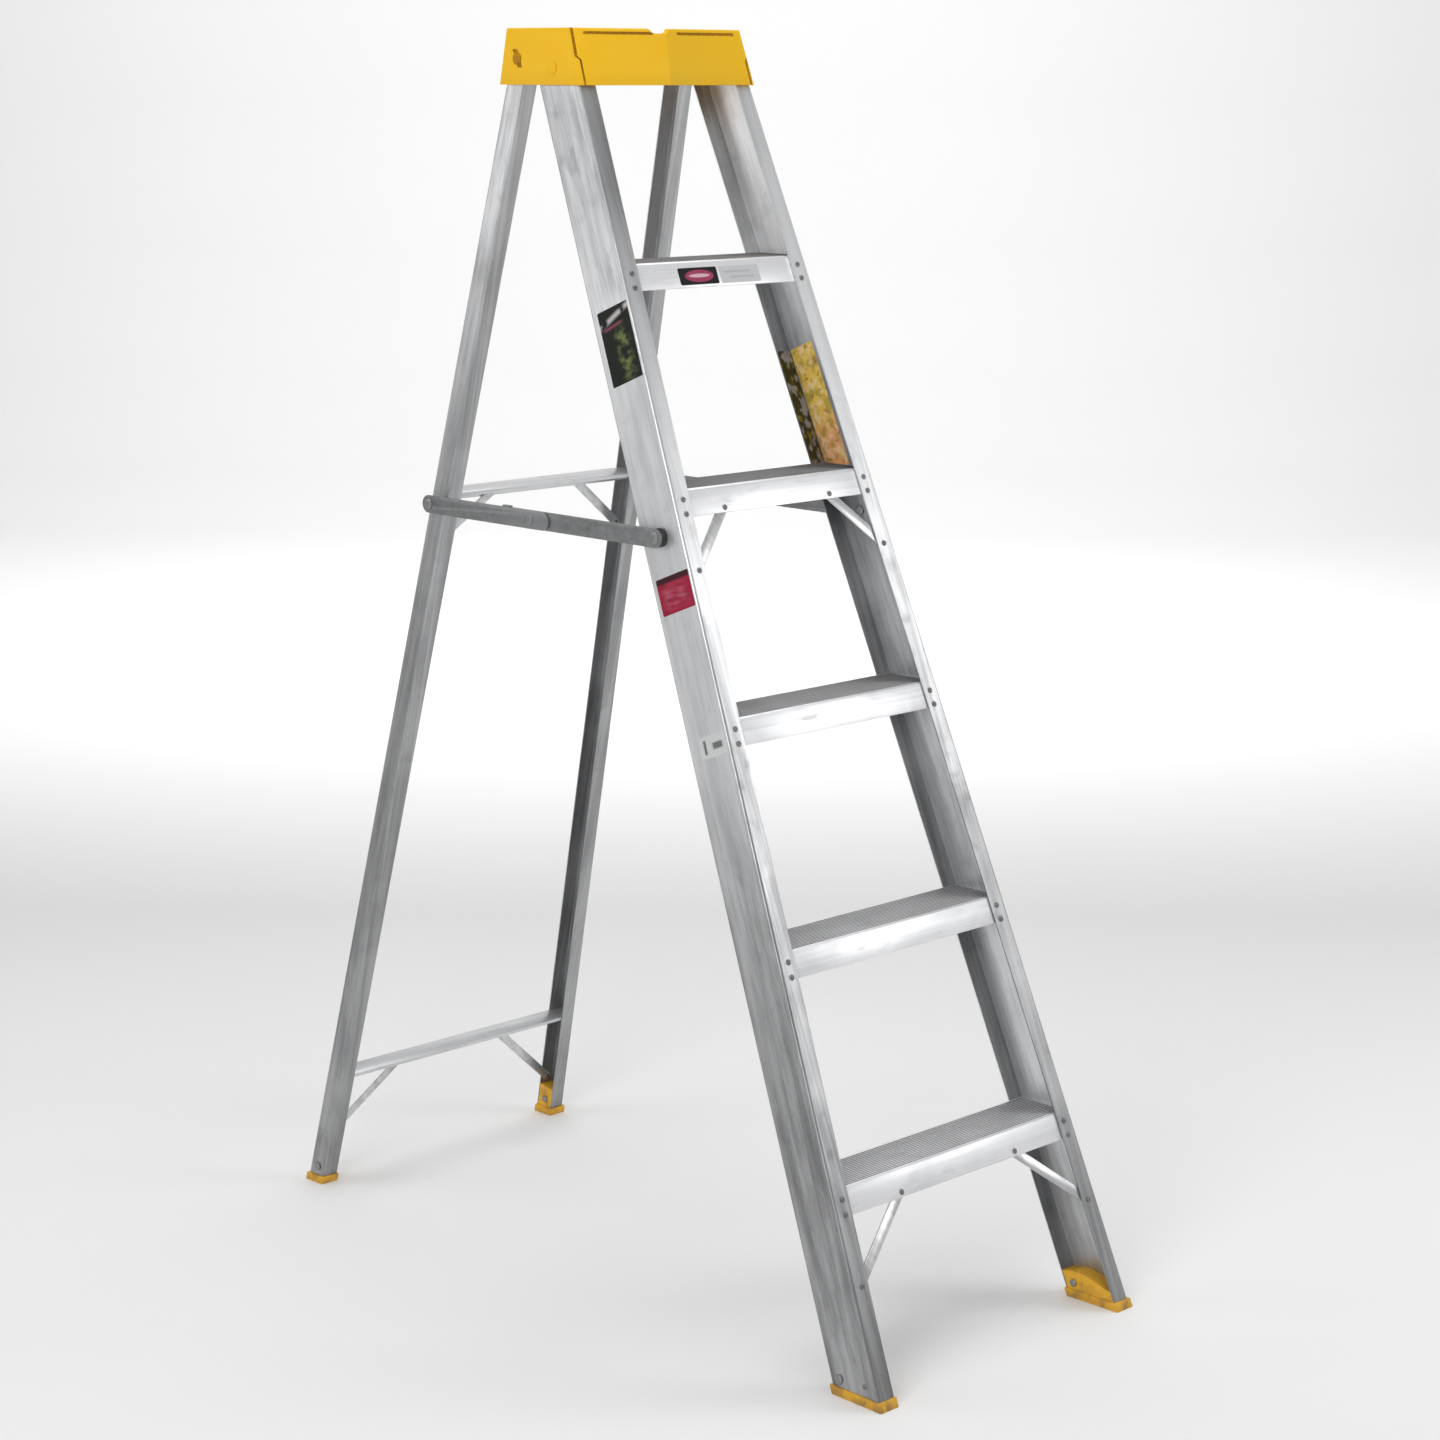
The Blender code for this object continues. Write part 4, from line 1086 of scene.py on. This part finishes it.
class LADDER_OT_top_cap(Operator):
    """Mould the top cap: folded front, grooved corners, rimmed tray and notch"""

    bl_idname = "ladder.top_cap"
    bl_label = "Top cap"

    def execute(self, context):
        cap = cap_sizes()
        self.low, self.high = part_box("top_cap")
        deck = self.high.z - cap.rim
        soft = cap.crown
        edge = 0.35 * soft
        rings = [self.outline(deck - cap.wall, cap.wall), self.outline(self.low.z, cap.wall),
                 self.outline(self.low.z, edge), self.outline(self.low.z + edge, 0)]
        rings += [self.outline(self.high.z - soft, 0)]
        for degrees in (30, 60, 90):
            turn = math.radians(degrees)
            rings.append(self.outline(self.high.z - soft + soft * math.sin(turn),
                                      soft - soft * math.cos(turn)))
        inner = cap.rim_width
        rings += [self.level_ring(self.high.z, inner - edge), self.level_ring(self.high.z - edge, inner),
                  self.level_ring(deck + soft, inner), self.level_ring(deck, inner + soft)]
        piece = add_piece("top_cap_moulding", loft(rings), cap_plastic())
        cut(piece, [self.notch(), self.tray_back(deck)], cap_plastic())
        # the faces of the grooves, slots and side recesses take the dark recess finish: painted shade
        cut(piece, [*self.grooves(), *self.slots(), *self.side_recesses()], shaded_recess_plastic())
        shade(piece, 26)
        self.crease(piece)
        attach(piece, "front_frame")
        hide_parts("top_cap")
        return {"FINISHED"}

    def corners(self, level):
        """Half width, front corner, front middle and back of the cap at a level."""
        cap = cap_sizes()
        share = (level - self.low.z) / (self.high.z - self.low.z)
        half = self.high.x + (self.half_top() - self.high.x) * share
        front = cap.front_bottom + (cap.front_top - cap.front_bottom) * share
        fold = cap.fold_bottom + (cap.fold_top - cap.fold_bottom) * share
        rear = cap.rear_bottom + (cap.rear_top - cap.rear_bottom) * share
        return half, front, fold, rear

    def half_top(self):
        tops = [vertex.co.x for vertex in frame["nodes"]["top_cap"].data.vertices
                if vertex.co.z > self.high.z - 1e-5]
        return max(tops)

    def outline(self, level, inset):
        half, front, fold, rear = self.corners(level)
        half, front, fold, rear = half - inset, front + inset, fold + inset, rear - inset
        radius = max(cap_sizes().corner - inset, 0.0010)
        points = arc((-half + radius, front + radius), radius, 180, 270, 8)
        points += [(-half * 0.5, (front + fold) / 2), (0, fold), (half * 0.5, (front + fold) / 2)]
        points += arc((half - radius, front + radius), radius, 270, 360, 8)
        points += arc((half - radius, rear - radius), radius, 0, 90, 8)
        points += arc((-half + radius, rear - radius), radius, 90, 180, 8)
        return [Vector((x, y, level)) for x, y in points]

    def level_ring(self, level, inset):
        """The rim's inner outline, upright below the top."""
        ring = self.outline(self.high.z, inset)
        for point in ring:
            point.z = level
        return ring

    def notch(self):
        cap = cap_sizes()
        half = cap.notch_width / 2
        over = self.high.z + cap.wall
        bottom = self.high.z - 0.72 * cap.rim
        profile = [(-1.0, over), (-0.80, self.high.z - 0.0012), (-0.52, bottom + 0.0010), (-0.32, bottom),
                   (0.40, bottom), (0.62, bottom + 0.0010), (0.82, self.high.z - 0.0020), (0.95, over)]
        rows = [(cap.notch_middle + half * share, level) for share, level in profile]
        span = (cap.fold_bottom - cap.rim, cap.front_top + 2 * cap.rim_width)
        return bar_through(rows, span)

    def tray_back(self, deck):
        cap = cap_sizes()
        over = self.high.z + cap.wall
        floor = deck + 0.0004
        half = cap.tray_half
        rows = [(-half, over), (-half, floor), (half, floor), (half, over)]
        span = (cap.rear_top - 2 * cap.rim_width, cap.rear_bottom + cap.rim)
        return bar_through(rows, span)

    def grooves(self):
        """The kinked line down each front corner."""
        cap = cap_sizes()
        made = []
        for side in SIDES.values():
            rings = []
            drops = ((-cap.wall, 0.0), (cap.groove_kink, 0.0), (cap.groove_kink + 0.0045, cap.groove_step),
                     (self.high.z - self.low.z + cap.wall, cap.groove_step + 0.0010))
            for drop, shift in drops:
                level = self.high.z - drop
                half, front, _fold, _rear = self.corners(level)
                x = half - cap.corner * 0.30 - shift
                y = front + cap.corner * 0.30 - shift * 0.35
                reach = cap.groove_half
                ring = [(x - reach, y + reach), (x - reach, y - 4 * reach), (x + reach, y - 4 * reach),
                        (x + reach, y + reach)]
                rings.append([Vector((side * px, py, level)) for px, py in ring])
            made.append(loft(rings))
        return made

    def slots(self):
        """A shallow slot under the front rim, each side of the notch."""
        cap = cap_sizes()
        made = []
        upper = self.high.z - cap.slot_drop
        for side in SIDES.values():
            rings = []
            for level in (upper - cap.slot_height, upper):
                half, front, fold, _rear = self.corners(level)
                inner, outer = cap.notch_width * 0.52, half - 3.2 * cap.corner
                ring = []
                for x, way in ((inner, -1), (outer, -1), (outer, 1), (inner, 1)):
                    face = fold + (front - fold) * x / half
                    y = face + (cap.slot_depth if way > 0 else -cap.wall)
                    ring.append(Vector((side * x, y, level)))
                rings.append(ring)
            made.append(loft(rings))
        return made

    def side_recesses(self):
        """A slanted recess round each pivot, open to the side."""
        joint = next(j for j in frame["joints"] if j["name"] == "rear_fold")
        _x, y, z = joint["pos_m"]
        made = []
        for side in SIDES.values():
            rings = []
            for reach, grow in ((0.0012, 0.0), (-0.0030, 0.0010)):
                outline = [(-0.0105 - grow, -0.0115), (-0.0020 + grow, -0.0115), (0.0100 + grow, 0.0125),
                           (0.0010 - grow, 0.0125)]
                ring = []
                for ahead, up in outline:
                    half = self.corners(z + up)[0]
                    ring.append(Vector((side * (half - reach), y + ahead, z + up)))
                rings.append(ring)
            made.append(loft(rings))
        return made

    def crease(self, piece):
        """Keep the fold down the middle of the front crisp."""
        mesh = piece.data
        sharp = mesh.attributes.get("sharp_edge") or mesh.attributes.new("sharp_edge", "BOOLEAN", "EDGE")
        limit = cap_sizes().front_top
        for edge in mesh.edges:
            ends = [mesh.vertices[index].co for index in edge.vertices]
            if all(abs(end.x) < 1e-5 and end.y < limit for end in ends):
                sharp.data[edge.index].value = True


class LADDER_OT_boots(Operator):
    """Round the four moulded boots"""

    bl_idname = "ladder.boots"
    bl_label = "Boots"

    def execute(self, context):
        for side_name in SIDES:
            for end in ("front", "rear"):
                soften(f"{end}_foot_{side_name}", sizes().boot_edge, boot_plastic())
        return {"FINISHED"}


class LADDER_OT_labels(Operator):
    """Stick the plain generic labels on the rails and the top step"""

    bl_idname = "ladder.labels"
    bl_label = "Labels"

    def execute(self, context):
        web = FRONT.web
        wall = sizes().rail_wall
        self.on_web("label_black", -1, (0.0042, 0.0640), (1.338, 1.4395), black_label())
        self.on_web("label_red", -1, (0.0036, 0.0670), (1.030, 1.0785), red_label())
        self.on_web("label_white", -1, (0.0036, 0.0550), (0.836, 0.8650), white_label())
        self.on_web("label_caution", 1, (0.0310, web - wall - 0.0012), (1.194, 1.372), caution_label(), wall)
        self.on_rear_flange("label_caution_flange", 1, (0.0034, 0.0270), (1.194, 1.372),
                            caution_flange_label())
        self.on_lip("label_oval", (-0.0700, 0.0010), oval_label())
        self.on_lip("label_grey", (0.0060, 0.0800), grey_label())
        return {"FINISHED"}

    def on_web(self, name, side, depths, alongs, finish, inward=0.0):
        """A label on a front rail's web: outside, or inside where inward is the wall."""
        outward = 1 if inward == 0 else -1
        if outward > 0:
            depths = depths[::-1]

        def place(share_u, share_v, lift):
            depth = depths[0] + (depths[1] - depths[0]) * share_u
            along = alongs[0] + (alongs[1] - alongs[0]) * share_v
            x = FRONT.half(along) - inward + outward * lift
            return FRONT.point(side * x, depth, along)

        self.stick(name, place, abs(depths[1] - depths[0]), alongs[1] - alongs[0], finish)

    def on_rear_flange(self, name, side, insets, alongs, finish):
        depth = FRONT.web - sizes().rail_wall

        def place(share_u, share_v, lift):
            inward = insets[0] + (insets[1] - insets[0]) * share_u
            along = alongs[0] + (alongs[1] - alongs[0]) * share_v
            return FRONT.point(side * (FRONT.half(along) - inward), depth - lift, along)

        self.stick(name, place, insets[1] - insets[0], alongs[1] - alongs[0], finish)

    def on_lip(self, name, span, finish):
        """A label on the top step's front lip."""
        low, _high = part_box(f"step_{len(TREADS)}")
        depth = sizes().rail_wall + sizes().clearance
        bottom = FRONT.along(depth, low.z)
        alongs = (bottom + 0.0045, bottom + 0.0280)

        def place(share_u, share_v, lift):
            x = span[0] + (span[1] - span[0]) * share_u
            along = alongs[0] + (alongs[1] - alongs[0]) * share_v
            return FRONT.point(x, depth - lift, along)

        self.stick(name, place, span[1] - span[0], alongs[1] - alongs[0], finish)

    def stick(self, name, place, width, height, finish):
        """A thin rounded sheet laid by place(u, v, lift), with its own UV map."""
        corner = sizes().label_corner
        outline = []
        for centre_u, centre_v, start in ((width - corner, corner, 270), (width - corner, height - corner, 0),
                                          (corner, height - corner, 90), (corner, corner, 180)):
            outline += arc((centre_u, centre_v), corner, start, start + 90, 4)
        shares = [(u / width, v / height) for u, v in outline]
        lifts = (0.00003, sizes().label_thickness)
        mesh_data = loft([[place(u, v, lift) for u, v in shares] for lift in lifts])
        layer = mesh_data.loops.layers.uv.new("UVMap")
        mesh_data.verts.index_update()
        for face in mesh_data.faces:
            for corner_loop in face.loops:
                corner_loop[layer].uv = shares[corner_loop.vert.index % len(shares)]
        piece = add_piece(name, mesh_data, finish)
        shade(piece)
        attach(piece, "front_frame")


class LADDER_OT_stage(Operator):
    """Set the floor, the plain surround, the soft lights and the camera"""

    bl_idname = "ladder.stage"
    bl_label = "Stage"

    def execute(self, context):
        self.lay_floor(context)
        self.surround(context)
        stage = context.scene.ladder_stage
        middle = Vector((0, 0, 0.90))
        turn = Matrix.Rotation(stage.azimuth, 3, "Z")
        boxes = (("side softbox", Vector((-2.3, 2.2, 1.9)), middle, (1.6, 1.2), stage.side_power),
                 ("front softbox", Vector((2.4, -2.6, 1.65)), middle, (1.4, 1.1), stage.front_power),
                 ("fill softbox", Vector((-3.5, -1.6, 2.1)), middle, (2.0, 2.0), stage.fill_power),
                 ("top softbox", Vector((0.3, 0.2, 3.9)), middle, (3.2, 3.2), stage.top_power),
                 ("backdrop light", turn @ Vector((0, 3.2, 4.0)), turn @ Vector((0, 10, 1.6)), (5.0, 1.5),
                  stage.back_power))
        for name, spot, target, span, power in boxes:
            self.softbox(context, name, spot, target, span, power)
        self.stand_camera(context)
        return {"FINISHED"}

    def lay_floor(self, context):
        """A large sheet that runs level and sweeps up far behind."""
        front, bend, radius, top, half = -9.0, 7.0, 3.0, 8.0, 12.0
        rows = [(front, 0.0), (bend, 0.0)]
        rows += [(bend + radius * math.sin(a), radius - radius * math.cos(a))
                 for a in (math.radians(15 * step) for step in range(1, 7))]
        rows.append((bend + radius, top))
        mesh_data = bmesh.new()
        strips = [[mesh_data.verts.new((x, y, z)) for x in (-half, half)] for y, z in rows]
        for near, far in zip(strips, strips[1:]):
            mesh_data.faces.new((near[0], near[1], far[1], far[0]))
        finish = Finish("Studio floor", roughness=0.75)
        tone = context.scene.ladder_stage.floor_tone
        cloud = finish.noise(finish.place, scale=1.3, detail=2.0)
        base = finish.blend(cloud, (tone, tone, tone), (tone * 1.02, tone * 1.02, tone * 1.015))
        finish.coat(base)
        floor = add_piece("studio_floor", mesh_data, finish.material)
        floor.data.shade_smooth()
        turn = Matrix.Rotation(context.scene.ladder_stage.azimuth, 4, "Z")
        floor.data.transform(turn)

    def surround(self, context):
        world = bpy.data.worlds.new("Plain surround")
        world.use_nodes = True
        back = world.node_tree.nodes["Background"]
        back.inputs["Color"].default_value = (1.0, 1.0, 1.0, 1.0)
        back.inputs["Strength"].default_value = context.scene.ladder_stage.sky
        context.scene.world = world

    def softbox(self, context, name, spot, target, span, power):
        light = bpy.data.lights.new(name, "AREA")
        light.shape = "RECTANGLE"
        light.size, light.size_y = span
        light.energy = power
        holder = bpy.data.objects.new(name, light)
        holder.location = spot
        holder.rotation_euler = (target - spot).to_track_quat("-Z", "Y").to_euler()
        holder.visible_camera = False
        context.scene.collection.objects.link(holder)

    def stand_camera(self, context):
        stage = context.scene.ladder_stage
        cosine = math.cos(stage.elevation)
        back = Vector((math.sin(stage.azimuth) * cosine, -math.cos(stage.azimuth) * cosine,
                       math.sin(stage.elevation)))
        right = Vector((math.cos(stage.azimuth), math.sin(stage.azimuth), 0))
        axes = Matrix((right, back.cross(right), back)).transposed().to_4x4()
        camera = bpy.data.cameras.new("camera")
        camera.lens = stage.lens
        camera.sensor_width = 36
        camera.clip_end = 60
        holder = bpy.data.objects.new("camera", camera)
        holder.matrix_world = (Matrix.Translation(stage.eye) @ axes
                               @ Matrix.Rotation(stage.roll, 4, "Z"))
        context.scene.collection.objects.link(holder)
        context.scene.camera = holder
        context.scene.view_settings.view_transform = "Standard"


class LADDER_PT_panel(Panel):
    """Lists the ladder's pieces"""

    bl_idname = "LADDER_PT_panel"
    bl_label = "Step ladder"
    bl_space_type = "VIEW_3D"
    bl_region_type = "UI"
    bl_category = "Ladder"

    def draw(self, context):
        for operator in OPERATORS:
            self.layout.operator(operator.bl_idname)
        for settings in ("ladder_sizes", "ladder_cap", "ladder_colours", "ladder_stage"):
            group = getattr(context.scene, settings)
            box = self.layout.box()
            for name in group.bl_rna.properties.keys():
                if name not in ("rna_type", "name"):
                    box.prop(group, name)


OPERATORS = (LADDER_OT_rails, LADDER_OT_steps, LADDER_OT_tread_ribs, LADDER_OT_braces,
             LADDER_OT_spreaders, LADDER_OT_rivets, LADDER_OT_top_cap, LADDER_OT_boots,
             LADDER_OT_labels, LADDER_OT_stage)
GROUPS = {"ladder_sizes": LadderSizes, "ladder_cap": CapSizes, "ladder_colours": LadderColours,
          "ladder_stage": StageSettings}


def register():
    for group in GROUPS.values():
        bpy.utils.register_class(group)
    for name, group in GROUPS.items():
        setattr(bpy.types.Scene, name, PointerProperty(type=group))
    for operator in OPERATORS:
        bpy.utils.register_class(operator)
    bpy.utils.register_class(LADDER_PT_panel)


def unregister():
    bpy.utils.unregister_class(LADDER_PT_panel)
    for operator in reversed(OPERATORS):
        bpy.utils.unregister_class(operator)
    for name, group in GROUPS.items():
        delattr(bpy.types.Scene, name)
        bpy.utils.unregister_class(group)


def main():
    """Build every piece."""
    register()
    for operator in OPERATORS:
        _group, action = operator.bl_idname.split(".")
        getattr(bpy.ops.ladder, action)()


if __name__ == "__main__":
    main()
